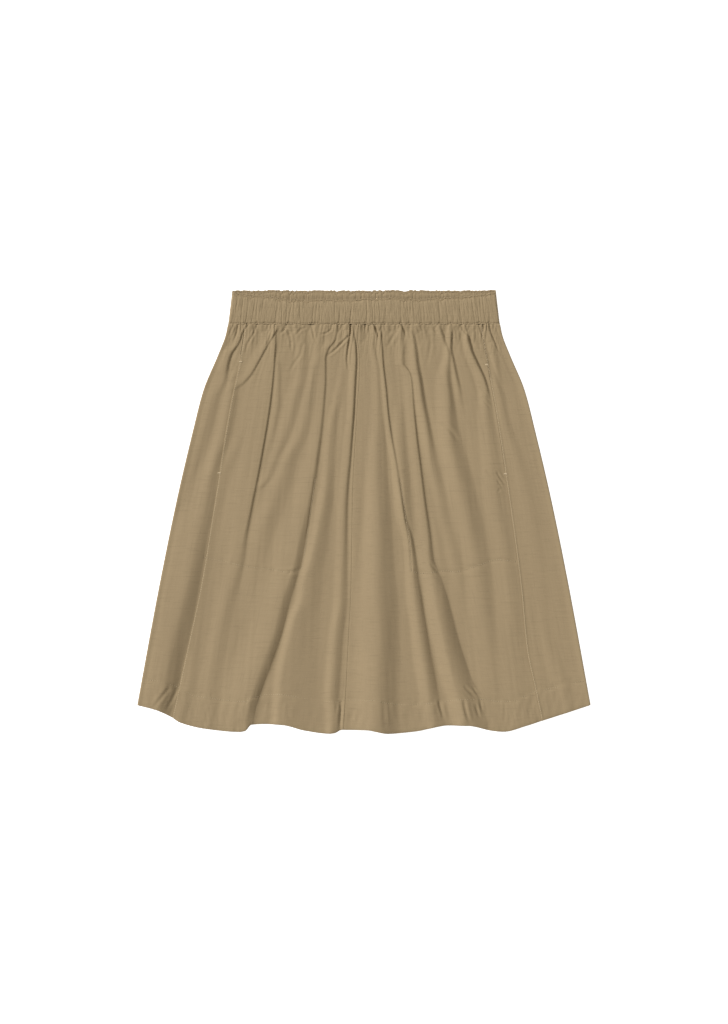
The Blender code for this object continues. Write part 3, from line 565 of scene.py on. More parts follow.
def front_height(x, drop):
    """Height of the front layer's outer face over the table."""
    x, drop = np.broadcast_arrays(np.asarray(x, float), np.asarray(drop, float))
    inside = half_width(drop) - np.abs(x)
    near_waist = np.exp(-np.maximum(drop, 0) / GATHER_REACH)
    plain = 4 + 4.2 * near_waist + hem_share(drop)
    side = 5 + 3.6 * near_waist + hem_share(drop)
    # The cloth springs up gently towards the right-hand fold; on the left it was pressed flatter.
    spring = np.where(x > 0, 1.5, 0) * ease((drop - 60) / 80)
    plain = plain + spring * (1 - ease(inside / 62))
    side = side + spring
    folds = np.zeros(x.shape)
    for rows in FOLDS.values():
        folds = folds + fold_height(rows, x, drop)
    relief = rumple(x, drop) + seam_relief(x, drop) + pocket_relief(x, drop) + hem_relief(x, drop)
    for stroke in STROKES:
        relief = relief + stroke_height(stroke, x, drop)
    relief = relief - 0.8 * knotted(SEAM_KNOTS, x) * np.exp(-((np.maximum(drop, 0) / 5) ** 2))
    return side + (plain - side) * ease(inside / 8) + folds + relief * ease(inside / 12)


print("height at the middle", front_height(np.zeros(1), np.full(1, 300.0)))

# %% [markdown]
# ## A sheet of cloth from a grid of points
# Every panel is a grid, with rows going down and columns going right, so one helper makes them all. It
# rolls the edges in at the seams, turns the hem up inside as a real double hem, and Solidify gives the
# cloth its thickness. The sheet keeps its own flat pattern in metres as a UV map, for the weave to follow.

# %% Helpers for sheets
CLOTH_THICKNESS = 0.5
HEM_DEPTH = 38.0
HEM_FOLD_RADIUS = 0.6
EDGE_BULGE = 1.3  # the folded side edge is pressed nearly flat


def outward(grid):
    """The unit normal of a grid of points, rows going down and columns right."""
    down = np.gradient(grid, axis=0)
    across = np.gradient(grid, axis=1)
    normal = np.cross(down, across)
    return normal / np.maximum(np.linalg.norm(normal, axis=2, keepdims=True), 1e-9)


def turn_up_hem(grid, pattern, rows_up):
    """Add the fold at the bottom edge and the layer turned up inside it."""
    normal = outward(grid)
    down = grid[-1] - grid[-2]
    down = down / np.linalg.norm(down, axis=1, keepdims=True)
    radius = HEM_FOLD_RADIUS
    extra = []
    extra_pattern = []
    for degrees in (40, 90, 140):
        angle = math.radians(degrees)
        sink = normal[-1] * radius * (1 - math.cos(angle))
        extra.append(grid[-1] - sink + down * radius * math.sin(angle))
        extra_pattern.append(pattern[-1] + (0, radius * angle))
    for row in rows_up:
        extra.append(grid[row] - normal[row] * 2 * radius)
        rise = pattern[-1, :, 1] * 2 - pattern[row, :, 1] + 2
        extra_pattern.append(np.stack([pattern[row, :, 0], rise], axis=1))
    return np.concatenate([grid, extra]), np.concatenate([pattern, extra_pattern])


def deselect_all():
    for thing in bpy.context.selected_objects:
        thing.select_set(False)


def grid_faces(grid):
    rows, columns = grid.shape[:2]
    number = np.arange(rows * columns).reshape(rows, columns)
    corners = [number[:-1, :-1], number[1:, :-1], number[1:, 1:], number[:-1, 1:]]
    return np.stack(corners, axis=-1).reshape(-1, 4)


def object_from(mesh):
    made = bpy.data.objects.new(mesh.name, mesh)
    bpy.context.scene.collection.objects.link(made)
    return made


def mesh_from(name, points, faces, pattern):
    """A smooth mesh in metres, with its flat pattern as a UV map."""
    mesh = bpy.data.meshes.new(name)
    mesh.from_pydata((points.reshape(-1, 3) * MM).tolist(), [], faces.tolist())
    layer = mesh.uv_layers.new(name="pattern")
    corner = np.zeros(len(mesh.loops), int)
    mesh.loops.foreach_get("vertex_index", corner)
    flat = pattern.reshape(-1, 2)[corner] * MM
    layer.data.foreach_set("uv", flat.ravel())
    mesh.shade_smooth()
    return object_from(mesh)


def thicken(piece, thickness=CLOTH_THICKNESS):
    deselect_all()
    piece.select_set(True)
    bpy.context.view_layer.objects.active = piece
    wall = piece.modifiers.new("cloth", "SOLIDIFY")
    wall.thickness = thickness * MM
    wall.offset = -1
    wall.use_even_offset = False
    bpy.ops.object.modifier_apply(modifier="cloth")
    return piece


def finish_piece(piece, finish):
    piece.data.materials.append(finish)
    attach(piece, "root")
    triangles = sum(len(face.vertices) - 2 for face in piece.data.polygons)
    print(piece.name, triangles, "triangles")


# %% [markdown]
# ## The finishes
# The skirt is a fine khaki cotton poplin, nearly matt, whose yarns show as faint lines both ways with a
# few thicker slubs. The colour stays almost even; what gives it life is the light on the creases. A small
# class lets the shader's maths be written as plain expressions.


# %% Shader maths
class Value:
    """A socket in a shader, with the arithmetic that is used below."""

    def __init__(self, shader, socket):
        self.shader = shader
        self.socket = socket

    def maths(self, operation, first, second):
        return self.shader.node("ShaderNodeMath", {"operation": operation}, {0: first, 1: second})

    def __add__(self, other):
        return self.maths("ADD", self, other)

    __radd__ = __add__

    def __mul__(self, other):
        return self.maths("MULTIPLY", self, other)

    __rmul__ = __mul__

    def __sub__(self, other):
        return self.maths("SUBTRACT", self, other)

    def __rsub__(self, other):
        return self.maths("SUBTRACT", other, self)


class Finish:
    """A material under construction."""

    def __init__(self, name):
        self.material = bpy.data.materials.new(name)
        self.material.use_nodes = True
        self.tree = self.material.node_tree
        self.surface = self.tree.nodes["Principled BSDF"]

    def node(self, kind, settings, inputs, output=0):
        made = self.tree.nodes.new(kind)
        for key, value in settings.items():
            setattr(made, key, value)
        for key, value in inputs.items():
            self.feed(made.inputs[key], value)
        return Value(self, made.outputs[output])

    def feed(self, socket, value):
        if isinstance(value, Value):
            self.tree.links.new(value.socket, socket)
        else:
            socket.default_value = value

    def set(self, **values):
        for key, value in values.items():
            self.feed(self.surface.inputs[key.replace("_", " ")], value)

    def pattern(self, across, down):
        """The piece's own flat pattern, stretched so that one unit is a step of the noise."""
        uv = self.node("ShaderNodeUVMap", {"uv_map": "pattern"}, {})
        scale = (1 / (across * MM), 1 / (down * MM), 1)
        return self.node("ShaderNodeMapping", {}, {"Vector": uv, "Scale": scale})

    def noise(self, where, detail=2.0):
        inputs = {"Vector": where, "Scale": 1.0, "Detail": detail, "Roughness": 0.5}
        return self.node("ShaderNodeTexNoise", {"noise_dimensions": "2D"}, inputs)

    def ramp(self, value, low, high):
        """0 at low and 1 at high."""
        inputs = {"Value": value, "From Min": low, "From Max": high}
        return self.node("ShaderNodeMapRange", {"interpolation_type": "SMOOTHSTEP"}, inputs)

    def mix(self, share, first, second):
        return self.node("ShaderNodeMix", {"data_type": "RGBA"}, {0: share, 6: first, 7: second}, 2)

    def bump(self, height, distance, strength=1.0, under=None):
        inputs = {"Height": height, "Distance": distance * MM, "Strength": strength}
        if under is not None:
            inputs["Normal"] = under
        return self.node("ShaderNodeBump", {}, inputs)


# %% [markdown]
# ### Poplin, pocketing and thread
# The yarn lines are noises stretched along the cloth's own pattern: long and thin down the warp, and the
# same across for the weft. They feed both a slight change of colour and a low bump. The thread is a shade
# lighter, with a twist for its bump.

# %% Mix the finishes


def woven(name, colour, sheen, contrast, ribs=0.0):
    finish = Finish(name)
    warp = finish.noise(finish.pattern(0.9, 26))
    weft = finish.noise(finish.pattern(22, 0.9))
    slub = finish.ramp(finish.noise(finish.pattern(1.6, 42)), 0.62, 0.76)
    cross_slub = finish.ramp(finish.noise(finish.pattern(36, 1.5)), 0.63, 0.77)
    cloud = finish.noise(finish.pattern(70, 110), 3.0)
    grain = finish.noise(finish.pattern(0.45, 0.45), 1.0)
    yarns = warp * 0.3 + weft * 0.7
    tone = yarns * 0.9 + cloud * 0.35 + grain * 0.35 - (slub + cross_slub) * 0.22
    share = finish.ramp(tone, 0.35, 1.25)
    dark = tuple(part * (1 - contrast) for part in colour) + (1,)
    light = tuple(min(part * (1 + contrast), 1) for part in colour) + (1,)
    finish.set(Base_Color=finish.mix(share, dark, light))
    finish.set(Roughness=0.78 + 0.12 * (1 - yarns))
    relief = warp * 0.12 + weft * 0.9 + slub * 0.25 + cross_slub * 0.8
    coarse = finish.bump(relief, 0.19, 0.8)
    if ribs:
        rib = finish.noise(finish.pattern(1.3, 13)) + finish.noise(finish.pattern(2.4, 9)) * 0.7
        coarse = finish.bump(rib, ribs, 1.0, coarse)
    finish.set(Normal=finish.bump(grain, 0.06, 0.7, coarse))
    finish.set(Sheen_Weight=sheen, Sheen_Roughness=0.45, Specular_IOR_Level=0.38)
    return finish.material


POPLIN = (0.2467, 0.1838, 0.1025)
poplin = woven("poplin", POPLIN, 0.06, 0.07)
casing_poplin = woven("casing_poplin", tuple(part * 0.985 for part in POPLIN), 0.06, 0.07, 0.5)
pocketing = woven("pocketing", (0.40, 0.32, 0.21), 0.05, 0.06)


def twisted_thread(name, colour):
    finish = Finish(name)
    place = finish.node("ShaderNodeTexCoord", {}, {}, 3)
    fibre = finish.node("ShaderNodeTexNoise", {}, {"Vector": place, "Scale": 2600.0, "Detail": 1.0})
    dark = tuple(part * 0.88 for part in colour) + (1,)
    light = colour + (1,)
    finish.set(Base_Color=finish.mix(fibre, dark, light))
    finish.set(Normal=finish.bump(fibre, 0.08))
    finish.set(Roughness=0.6, Sheen_Weight=0.1)
    return finish.material


thread = twisted_thread("thread", (0.42, 0.33, 0.205))
print("finishes", [made.name for made in (poplin, casing_poplin, pocketing, thread)])

# %% [markdown]
# ## The front, in two halves
# The front is two panels joined down the middle, each from the pocket seam at its side to the centre seam.
# The grid's columns are led by the seams and the main creases, so the creases stay crisp with few points.

# %% Seams and the grid's guides
# How a seam's edge rolls down: the way in from the edge, and the height there.
EDGE_ROLL = ((0.0, -0.2), (0.15, -0.1), (0.45, -0.03), (0.9, 0.0))
PATTERN_DROP = 540.0  # the flat pattern takes its widths at this drop


def guide_line(guide, drop):
    """Where a guide runs: a seam, or the crease of the fold with that name."""
    if not isinstance(guide, str):
        return seam_x(guide, drop)
    rows = np.array(FOLDS[guide], float)
    return smooth(drop, rows[:, 0], rows[:, 1])


def row_drops():
    """Drops of the grid's rows on the longest line: fine at the waist, then 1.9 to 2.6 mm apart."""
    waist = np.arange(1.2, 60, 1.25)
    upper = np.arange(60, 250, 1.9)
    lower = np.linspace(250, LONGEST_DROP, 118)
    return np.concatenate([waist, upper, lower])


def rows_in_hem(drops):
    """Every third row within the hem, from the edge up: the turned-up layer needs no more."""
    return np.flatnonzero(drops > LONGEST_DROP - HEM_DEPTH)[::-3]


def tuck_in(grid, pattern, depth):
    """Add rows above the first that dive under the waistband."""
    first = grid[0]
    inwards = -outward(grid)[0]
    rows = []
    flat = []
    for up, sink in ((2.6, depth), (1.7, depth * 0.55), (0.8, depth * 0.15)):
        rows.append(first + np.array((0, up, 0)) + inwards * sink)
        flat.append(pattern[0] - (0, up + sink))
    return np.concatenate([rows, grid]), np.concatenate([flat, pattern])


def cut_panel(name, grid, pattern, rows, tuck_depth):
    """Turn up the hem, tuck the top under the band and give the cloth its thickness."""
    grid, pattern = turn_up_hem(grid, pattern, rows_in_hem(rows))
    grid, pattern = tuck_in(grid, pattern, tuck_depth)
    return thicken(mesh_from(name, grid, grid_faces(grid), pattern))


def front_grid(guides, counts):
    """The grid's x and drop, how far its seam edges roll down, and the flat pattern's x."""
    stretches = []
    shares = []
    for stretch, count in enumerate(counts):
        share = np.arange(count) / count
        shares.extend(share + 0.35 * np.sin(np.pi * share) / np.pi)
        stretches.extend([stretch] * count)
    stretches = np.array(stretches + [len(counts) - 1])
    shares = np.array(shares + [1.0])
    pick = np.arange(len(shares))

    def place(drop):
        lines = np.array([guide_line(guide, drop) for guide in guides])
        return lines[stretches, pick] * (1 - shares) + lines[stretches + 1, pick] * shares

    at_hem = place(np.full(len(shares), PATTERN_DROP))
    drop = row_drops()[:, None] * hem_drop(at_hem)[None, :] / LONGEST_DROP
    x = np.array([place(row) for row in drop])
    first = x[:, :1]
    last = x[:, -1:]
    inner = np.clip(x[:, 1:-1], first + 1.2, last - 1.2)
    left = np.concatenate([first + away for away, _ in EDGE_ROLL], axis=1)
    right = np.concatenate([last - away for away, _ in EDGE_ROLL[::-1]], axis=1)
    full_x = np.concatenate([left, inner, right], axis=1)
    sink = np.zeros(full_x.shape)
    for i, (_, depth) in enumerate(EDGE_ROLL):
        sink[:, i] = depth
        sink[:, -1 - i] = depth
    ends = len(EDGE_ROLL)
    repeated = np.concatenate([[0] * ends, np.arange(1, len(at_hem) - 1), [-1] * ends])
    return full_x, drop[:, repeated], sink, at_hem[repeated]


def front_panel(name, guides, counts):
    x, drop, sink, flat_x = front_grid(guides, counts)
    z = front_height(x, drop) + sink * roll_share(x, drop)
    grid = np.stack([x, WAIST_SEAM_Y - drop, z], axis=-1)
    pattern = np.stack([np.broadcast_to(flat_x, x.shape), drop], axis=-1)
    return cut_panel(name, grid, pattern, row_drops(), 2.4)


LEFT_GUIDES = (LEFT_SEAM, "left_middle", "left_deep", "centre_left", CENTRE_SEAM)
RIGHT_GUIDES = (CENTRE_SEAM, "right_deep", "right_short", RIGHT_SEAM)
front_left = front_panel("front_panel_left", LEFT_GUIDES, (49, 58, 40, 8))
front_right = front_panel("front_panel_right", RIGHT_GUIDES, (57, 31, 72))
finish_piece(front_left, poplin)
finish_piece(front_right, poplin)
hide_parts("front_left")
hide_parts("front_right")

# %% [markdown]
# ## The back
# The back is one panel, cut wide enough to come forward round both sides to the pocket seams. Its grid
# follows the section of the laid skirt: a strip on top, half a turn round the folded side, the underside
# flat on the table, and the same again. The table presses the underside's creases shallow: each is given
# by how high and how wide it stands, its place across the skirt (-1 to 1) at the waist, halfway down and
# at the hem, and the drop where it dies out.

# %% Make the back
UNDER_CREASES = (
    (0.9, 5, -0.93, -0.86, -0.83, 330), (1.2, 7, -0.76, -0.73, -0.68, 480),
    (0.8, 4, -0.66, -0.60, -0.58, 210), (1.3, 8, -0.52, -0.47, -0.49, 560),
    (0.9, 5, -0.37, -0.36, -0.33, 260), (1.1, 6, -0.27, -0.21, -0.17, 430),
    (0.8, 4, -0.12, -0.10, -0.08, 170), (1.3, 8, 0.04, 0.02, -0.01, 600), (0.9, 5, 0.17, 0.19, 0.22, 300),
    (1.2, 7, 0.33, 0.36, 0.34, 520), (0.8, 4, 0.44, 0.46, 0.49, 190), (1.1, 6, 0.56, 0.61, 0.66, 400),
    (1.3, 7, 0.73, 0.72, 0.75, 560), (0.9, 5, 0.9, 0.86, 0.84, 250),
)
UNDER_FADE = 140  # a crease dies out over this length
PRESSED_UP = 1.5  # the most that the underside stands off the table


def under_creases(x, drop):
    share = x / half_width(drop)
    down = np.clip(drop / 560, 0, 1)
    height = np.zeros(np.shape(x))
    for high, wide, top, middle, low, reach in UNDER_CREASES:
        place = top * (1 - down) * (1 - 2 * down) + middle * 4 * down * (1 - down)
        place = place + low * down * (2 * down - 1)
        across = (share - place) * half_width(drop) / (wide * (0.6 + 0.9 * down))
        alive = 1 - ease((drop - reach + UNDER_FADE) / UNDER_FADE)
        height = np.maximum(height, high * np.exp(-np.abs(across) ** 1.6) * alive)
    return height


def under_height(x, drop):
    """How far the underside is pressed up from the table; a ditch holds the hem's stitches."""
    below = drop - back_hem_drop(x) + BACK_HEM_STITCHES
    crease = np.clip(1.3 * rumple(x, drop, 17) - 0.1, 0, 0.5) + under_creases(x, drop)
    gathers = np.exp(-np.maximum(drop, 0) / 30) * (0.4 + 0.4 * np.cos(x / 1.6 + 1.3 * np.sin(x / 17)))
    press = np.minimum(crease + np.maximum(gathers, 0), PRESSED_UP)
    return np.maximum(press, 0.5 * np.exp(-((below / 1.6) ** 2)))


def back_section(base_drop):
    """One row of the back's outer face, from the right seam round under the skirt to the left seam."""
    way_down = base_drop / LONGEST_DROP
    turn = np.radians(np.linspace(0, 180, 11))
    under = np.linspace(1, -1, 93)[1:-1]

    def strip(side, seam, count):
        rolled = [away for away, _ in EDGE_ROLL]
        shares = np.linspace(0, 1, count)[1:-1]
        edge_at_hem = half_width(SIDE_DROP) - EDGE_BULGE
        seam_at_hem = side * seam[-1]
        starts = np.concatenate([np.zeros(len(rolled)), shares])
        drop = way_down * hem_drop(side * (seam_at_hem + (edge_at_hem - seam_at_hem) * starts))
        edge = half_width(drop) - EDGE_BULGE
        start = side * seam_x(seam, drop)
        x = start + (edge - start) * starts
        x[: len(rolled)] += rolled
        x = np.maximum(x, start + rolled[0])
        z = front_height(side * x, drop)
        sinks = np.array([sink for _, sink in EDGE_ROLL])
        z[: len(rolled)] += sinks * roll_share(x[: len(rolled)], drop[: len(rolled)])
        return np.stack([side * x, WAIST_SEAM_Y - drop, z], axis=-1)

    def turned(side, angles):
        drop = way_down * SIDE_DROP
        edge = side * (half_width(drop) - EDGE_BULGE)
        radius = front_height(np.full(len(angles), edge), drop) / 2
        x = edge + side * EDGE_BULGE * np.sin(angles)
        y = np.full(len(angles), WAIST_SEAM_Y - drop)
        return np.stack([x, y, radius + radius * np.cos(angles)], axis=-1)

    under_drop = way_down * back_hem_drop(under * HEM_HALF_WIDTH)
    under_x = under * (half_width(under_drop) - EDGE_BULGE)
    inside = ease((half_width(under_drop) - np.abs(under_x) - 8) / 20)
    press = under_height(under_x, under_drop) * inside
    underside = np.stack([under_x, WAIST_SEAM_Y - under_drop, press], axis=-1)
    right = strip(1, RIGHT_SEAM, 46)
    left = strip(-1, LEFT_SEAM, 34)[::-1]
    return np.concatenate([right, turned(1, turn), underside, turned(-1, turn[::-1]), left])


def make_back():
    rows = np.concatenate([np.arange(1.2, 60, 1.25), np.linspace(60, LONGEST_DROP, 165)])
    grid = np.array([back_section(row) for row in rows])
    around = np.concatenate([[0], np.cumsum(np.linalg.norm(np.diff(grid[-1], axis=0), axis=1))])
    flat_x = np.broadcast_to(around, grid.shape[:2])
    pattern = np.stack([flat_x, WAIST_SEAM_Y - grid[:, :, 1]], axis=-1)
    return cut_panel("back_panel", grid, pattern, rows, 1.2)


back = make_back()
finish_piece(back, poplin)
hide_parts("back")

# %% [markdown]
# ## The waistband
# The band is a casing of poplin stretched over a wide elastic when it was sewn, so at rest it is drawn up
# into fine upright ribs. Here each half is a flat closed tube: ribs in front, a rounded top edge, ribs
# behind. The valleys are listed where the deeper ones lie, and fainter ones fill the gaps.

# %% Make the casing
BAND_FRONT_X = (-178, -160, -126, -99, -18, 10, 49, 70, 103, 130, 157, 178)
BAND_FRONT_HEIGHT = (44.5, 40.5, 37.8, 34, 33.8, 36.2, 36.2, 34.2, 36.5, 37.8, 40.5, 44.5)
BAND_BACK_HEIGHT = 46.6
BAND_HALF_SEAM = 183.5
BAND_HALF_TOP = 178
BAND_MIDDLE_Z = 4.6
CASING_THICKNESS = 0.4
BAND_TOP_Z = 9.2
# How full the tube is, going up: two rows of stitches press it in near its edges.
PUFF_UP = (0, 0.02, 0.045, 0.075, 0.2, 0.35, 0.7, 0.86, 0.925, 0.945, 0.97, 1)
PUFF = (0.5, 0.72, 0.66, 0.82, 0.93, 1, 1, 0.9, 0.64, 0.6, 0.76, 0.5)
# The stitch rows: where each runs, how much it wanders, how narrow and how deep its pits are.
STITCH_PITS = ((0.04, 0.016, 0.018, 0.55), (0.937, 0.006, 0.017, 1.0))
# The deeper valleys: x at half the band's height, and depth.
VALLEYS = (
    (-172, 0.8), (-164, 1.0), (-157.5, 1.0), (-149, 0.8), (-144, 0.8), (-137, 0.7), (-117, 1.0),
    (-110, 0.9), (-104.5, 0.8), (-99, 0.8), (-94, 0.7), (-85.5, 0.7), (-68, 0.9), (-64, 0.7),
    (-60, 0.7), (-38.5, 0.8), (-33, 0.7), (-24.5, 0.8), (-17, 1.3), (3.5, 1.3), (11.5, 0.8),
    (15.5, 0.8), (21, 0.7), (29, 0.7), (50.5, 0.8), (56, 0.7), (60, 0.8), (63, 0.8), (67, 0.7),
    (77.5, 0.8), (81.5, 0.7), (91, 0.6), (101.5, 1.3), (112.5, 1.0), (119.5, 1.0), (130.5, 0.9),
    (141, 0.8), (148, 0.8), (153, 0.7), (157.5, 1.3), (162.5, 0.7), (168, 0.7),
)


def with_faint_valleys(valleys):
    """Fill the wide spaces between the deeper valleys with faint ones, and give each its own reach.

    A valley is its x, its depth, the height where it is deepest and how far it reaches from there.
    """
    filled = []
    ends = [(-BAND_HALF_TOP, 0)] + list(valleys) + [(BAND_HALF_TOP, 0)]
    for (x, depth), (following, _) in zip(ends, ends[1:]):
        filled.append((x, depth, luck.uniform(0.2, 0.8), luck.uniform(0.5, 1.1)))
        spaces = max(int(round((following - x) / 3.0)), 1)
        for i in range(1, spaces):
            place = x + (following - x) * i / spaces + luck.uniform(-1.2, 1.2)
            faint = luck.uniform(0.05, 0.45)
            filled.append((place, faint, luck.uniform(0, 1), luck.uniform(0.2, 0.6)))
    return filled[1:]


def rib_height(valleys, x, up):
    """How the ribs lower the casing's face at x, where up goes from 0 at the seam to 1 at the top edge."""
    height = np.zeros(np.shape(x))
    for i, (middle, depth, deepest, reach) in enumerate(valleys):
        lean = (middle * 0.03 + 2.6 * math.sin(i * 4.7) ** 3) * (0.5 - up)
        bend = np.sin(up * 3.3 + i * 2.1) * 0.6
        away = (x - middle - lean - bend) / 0.72
        strength = math.exp(-(((up - deepest) / reach) ** 2))
        strength = strength + 0.8 * math.exp(-up / 0.06) + 0.8 * math.exp((up - 1) / 0.05)
        height = height - 0.75 * depth * strength * np.exp(-(away**2))
    return height


class Casing:
    """One half of the band: a flat tube of cloth, its outer face up in front and down behind."""

    def __init__(self, in_front):
        self.in_front = in_front
        self.columns = np.linspace(-1, 1, 421)
        mirrored = [(-x, depth) for x, depth in VALLEYS[::-1]]
        self.valleys = with_faint_valleys(VALLEYS if in_front else mirrored)
        self.low = BAND_MIDDLE_Z + 0.1 if in_front else 0.0
        self.high = BAND_TOP_Z if in_front else BAND_MIDDLE_Z - 0.1
        row = np.zeros(len(self.columns))
        if in_front:
            self.edge = smooth(self.columns * BAND_HALF_TOP, BAND_FRONT_X, BAND_FRONT_HEIGHT)
            self.edge = self.edge + 0.5 * lattice_noise(self.columns * 45, row)
            self.edge = self.edge + 0.6 * lattice_noise(self.columns * 95, row + 7)
        else:
            self.edge = BAND_BACK_HEIGHT + 0.45 * lattice_noise(self.columns * 28, row + 3)
            self.edge = self.edge + 0.5 * lattice_noise(self.columns * 80, row + 5)
        self.foot = 0.6 * lattice_noise(self.columns * 50 + 3, row + 9)
        self.seam_knots = knotted(SEAM_KNOTS, self.columns * BAND_HALF_SEAM)
        self.top_knots = knotted(TOP_KNOTS, self.columns * BAND_HALF_TOP)
        self.foot = self.foot + 0.9 * self.seam_knots - 0.3
        self.edge = self.edge - 1.2 * self.top_knots

    def row(self, up, upper_face):
        """Points across the band, up from 0 at the seam to 1 at the top edge."""
        half = BAND_HALF_SEAM + (BAND_HALF_TOP - BAND_HALF_SEAM) * up
        x = self.columns * half
        share = float(smooth(np.array([up]), PUFF_UP, PUFF)[0])
        reach = np.clip((np.abs(x) - half + 3) / 3, 0, 1)
        roundness = np.sqrt(1 - 0.98 * reach**2)
        middle = (self.low + self.high) / 2
        ribs = rib_height(self.valleys, x, up) * min(1, 4 * up + 0.4) * roundness
        ribs = ribs - 0.9 * self.seam_knots * math.exp(-((up / 0.1) ** 2))
        ribs = ribs - 1.5 * self.top_knots * math.exp(-(((1 - up) / 0.07) ** 2))
        level = np.full(len(x), float(up))
        ribs = ribs + 0.3 * lattice_noise(self.columns * 36 + 5, level * 3) * roundness
        ribs = ribs + 0.12 * lattice_noise(self.columns * 90 + level * 4, level * 7) * roundness
        for place, wander, narrow, deep in STITCH_PITS:
            line = place + wander * lattice_noise(self.columns * 26, level * 0 + place * 40)
            pit = np.abs(lattice_noise(self.columns * 118 + 3, level * 0 + place * 60)) ** 0.6
            ribs = ribs - deep * pit * np.exp(-(((up - line) / narrow) ** 2)) * roundness
        pucker = lattice_noise(x / 1.5 + 8 * level, level * 16 + 11)
        ribs = ribs + 0.4 * pucker * math.exp(-((up / 0.13) ** 2)) * roundness
        if upper_face:
            top = middle + (self.high - middle) * (2 * share - 1)
            z = self.low + (top - self.low) * roundness if self.in_front else np.full(len(x), top)
            if not self.in_front:
                ribs = ribs - 1.7 * math.exp(-(((up - 0.73) / 0.12) ** 2))
            z = np.maximum(z + ribs, self.low + 0.5)
        else:
            bottom = middle - (middle - self.low) * (2 * share - 1)
            z = np.full(len(x), bottom) if self.in_front else self.high - (self.high - bottom) * roundness
            z = np.minimum(z - ribs * 0.6, self.high - 0.5)
            z = np.maximum(z, self.low)
        y = WAIST_SEAM_Y + self.foot * (1 - up) ** 4 + self.edge * up
        return np.stack([x, y, z], axis=-1)

    def sheet(self, name):
        low_rows = [0.0, 0.012, 0.024, 0.034, 0.045, 0.056, 0.068, 0.085]
        high_rows = [0.91, 0.922, 0.93, 0.937, 0.944, 0.953, 0.967, 0.985, 1.0]
        going_up = np.concatenate([low_rows, np.linspace(0.11, 0.89, 28), high_rows])
        going_down = going_up[::-2]
        rows = [self.row(up, True) for up in going_up]
        rows += [self.row(up, False) for up in going_down]
        reach = np.concatenate([40 * going_up, 80 - 40 * going_down])
        across = self.columns[None, :] * BAND_HALF_TOP
        pattern = np.stack(np.broadcast_arrays(across, reach[:, None]), axis=-1)
        grid = np.array(rows)
        piece = mesh_from(name, grid, grid_faces(grid)[:, ::-1], pattern)
        return thicken(piece, CASING_THICKNESS)


front_casing = Casing(True)
back_casing = Casing(False)
casing_front = front_casing.sheet("casing_front")
casing_back = back_casing.sheet("casing_back")
finish_piece(casing_front, casing_poplin)
finish_piece(casing_back, casing_poplin)
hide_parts("waistband_front")
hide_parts("waistband_back")

# %% [markdown]
# ## The pocket bags
# Each bag hangs inside from the waist seam and the pocket seam. It is out of sight, but it is there on the
# real skirt and its outline is stitched through to the front. One flat sheet stands for both its layers.

# %% Make the pocket bags
BAG_DROPS = (3, 90, 190, 290)
BAG_INNER_X = (46, 50, 58, 64)
BAG_BOTTOM = (333, 315)  # drop of its bottom edge at the inner and the outer corner
BAG_LEVEL = 2.2


def pocket_bag(name, side, seam):
    shares = np.linspace(0, 1, 40)
    bottom = BAG_BOTTOM[0] + (BAG_BOTTOM[1] - BAG_BOTTOM[0]) * shares
    rows = []
    for way in np.linspace(0, 1, 60):
        drop = BAG_DROPS[0] + (bottom - BAG_DROPS[0]) * way
        inner = smooth(drop, BAG_DROPS, BAG_INNER_X)
        outer = np.abs(seam_x(seam, drop)) + 10
        x = side * (inner + (outer - inner) * shares)
        z = BAG_LEVEL - 0.25 * (1 + lattice_noise(x / 14, drop / 40 + 30)) / 2
        rows.append(np.stack([x, WAIST_SEAM_Y - drop, z], axis=-1)[:: side])
    grid = np.array(rows)
    pattern = np.stack([grid[:, :, 0], WAIST_SEAM_Y - grid[:, :, 1]], axis=-1)
    return thicken(mesh_from(name, grid, grid_faces(grid), pattern))


bag_left = pocket_bag("pocket_bag_cloth_left", -1, LEFT_SEAM)
bag_right = pocket_bag("pocket_bag_cloth_right", 1, RIGHT_SEAM)
finish_piece(bag_left, pocketing)
finish_piece(bag_right, pocketing)
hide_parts("pocket_bag_left")
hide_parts("pocket_bag_right")

# %% [markdown]
# ## Stitches
# The skirt is sewn with a lockstitch in thread a shade lighter than the cloth. One stitch is a short
# thread whose two ends dive into the cloth. It is modelled once from a six-sided bar, and copied along
# every seam, each copy turned to lie along its own bit of cloth.

# %% Model one stitch
STITCH_LENGTH = 2.5
STITCH_SPACING = 3.1
THREAD_RADIUS = 0.33


def select_end(mesh, side):
    bpy.ops.object.mode_set(mode="OBJECT")
    for face in mesh.polygons:
        face.select = face.normal.x * side > 0.9
    bpy.ops.object.mode_set(mode="EDIT")


def model_stitch():
    """A bar along X whose ends are drawn out, narrowed and bent down."""
    deselect_all()
    body = STITCH_LENGTH * 0.5
    lying = (0, math.pi / 2, 0)
    bpy.ops.mesh.primitive_cylinder_add(vertices=6, radius=THREAD_RADIUS, depth=body, rotation=lying)
    stitch = bpy.context.object
    bpy.ops.object.transform_apply(location=True, rotation=True, scale=True)
    bpy.ops.object.mode_set(mode="EDIT")
    bpy.ops.mesh.select_mode(type="FACE")
    for side in (-1, 1):
        select_end(stitch.data, side)
        bpy.ops.mesh.extrude_region_move(TRANSFORM_OT_translate={"value": (side * 0.6, 0, -0.44)})
        bpy.ops.transform.resize(value=(1, 0.65, 0.65))
    bpy.ops.mesh.select_all(action="DESELECT")
    bpy.ops.object.mode_set(mode="OBJECT")
    points = np.array([corner.co[:] for corner in stitch.data.vertices])
    faces = [tuple(face.vertices) for face in stitch.data.polygons]
    bpy.data.objects.remove(stitch, do_unlink=True)
    return points, faces


STITCH = model_stitch()
print("one stitch", len(STITCH[1]), "faces,", float(np.ptp(STITCH[0][:, 0])), "mm long")

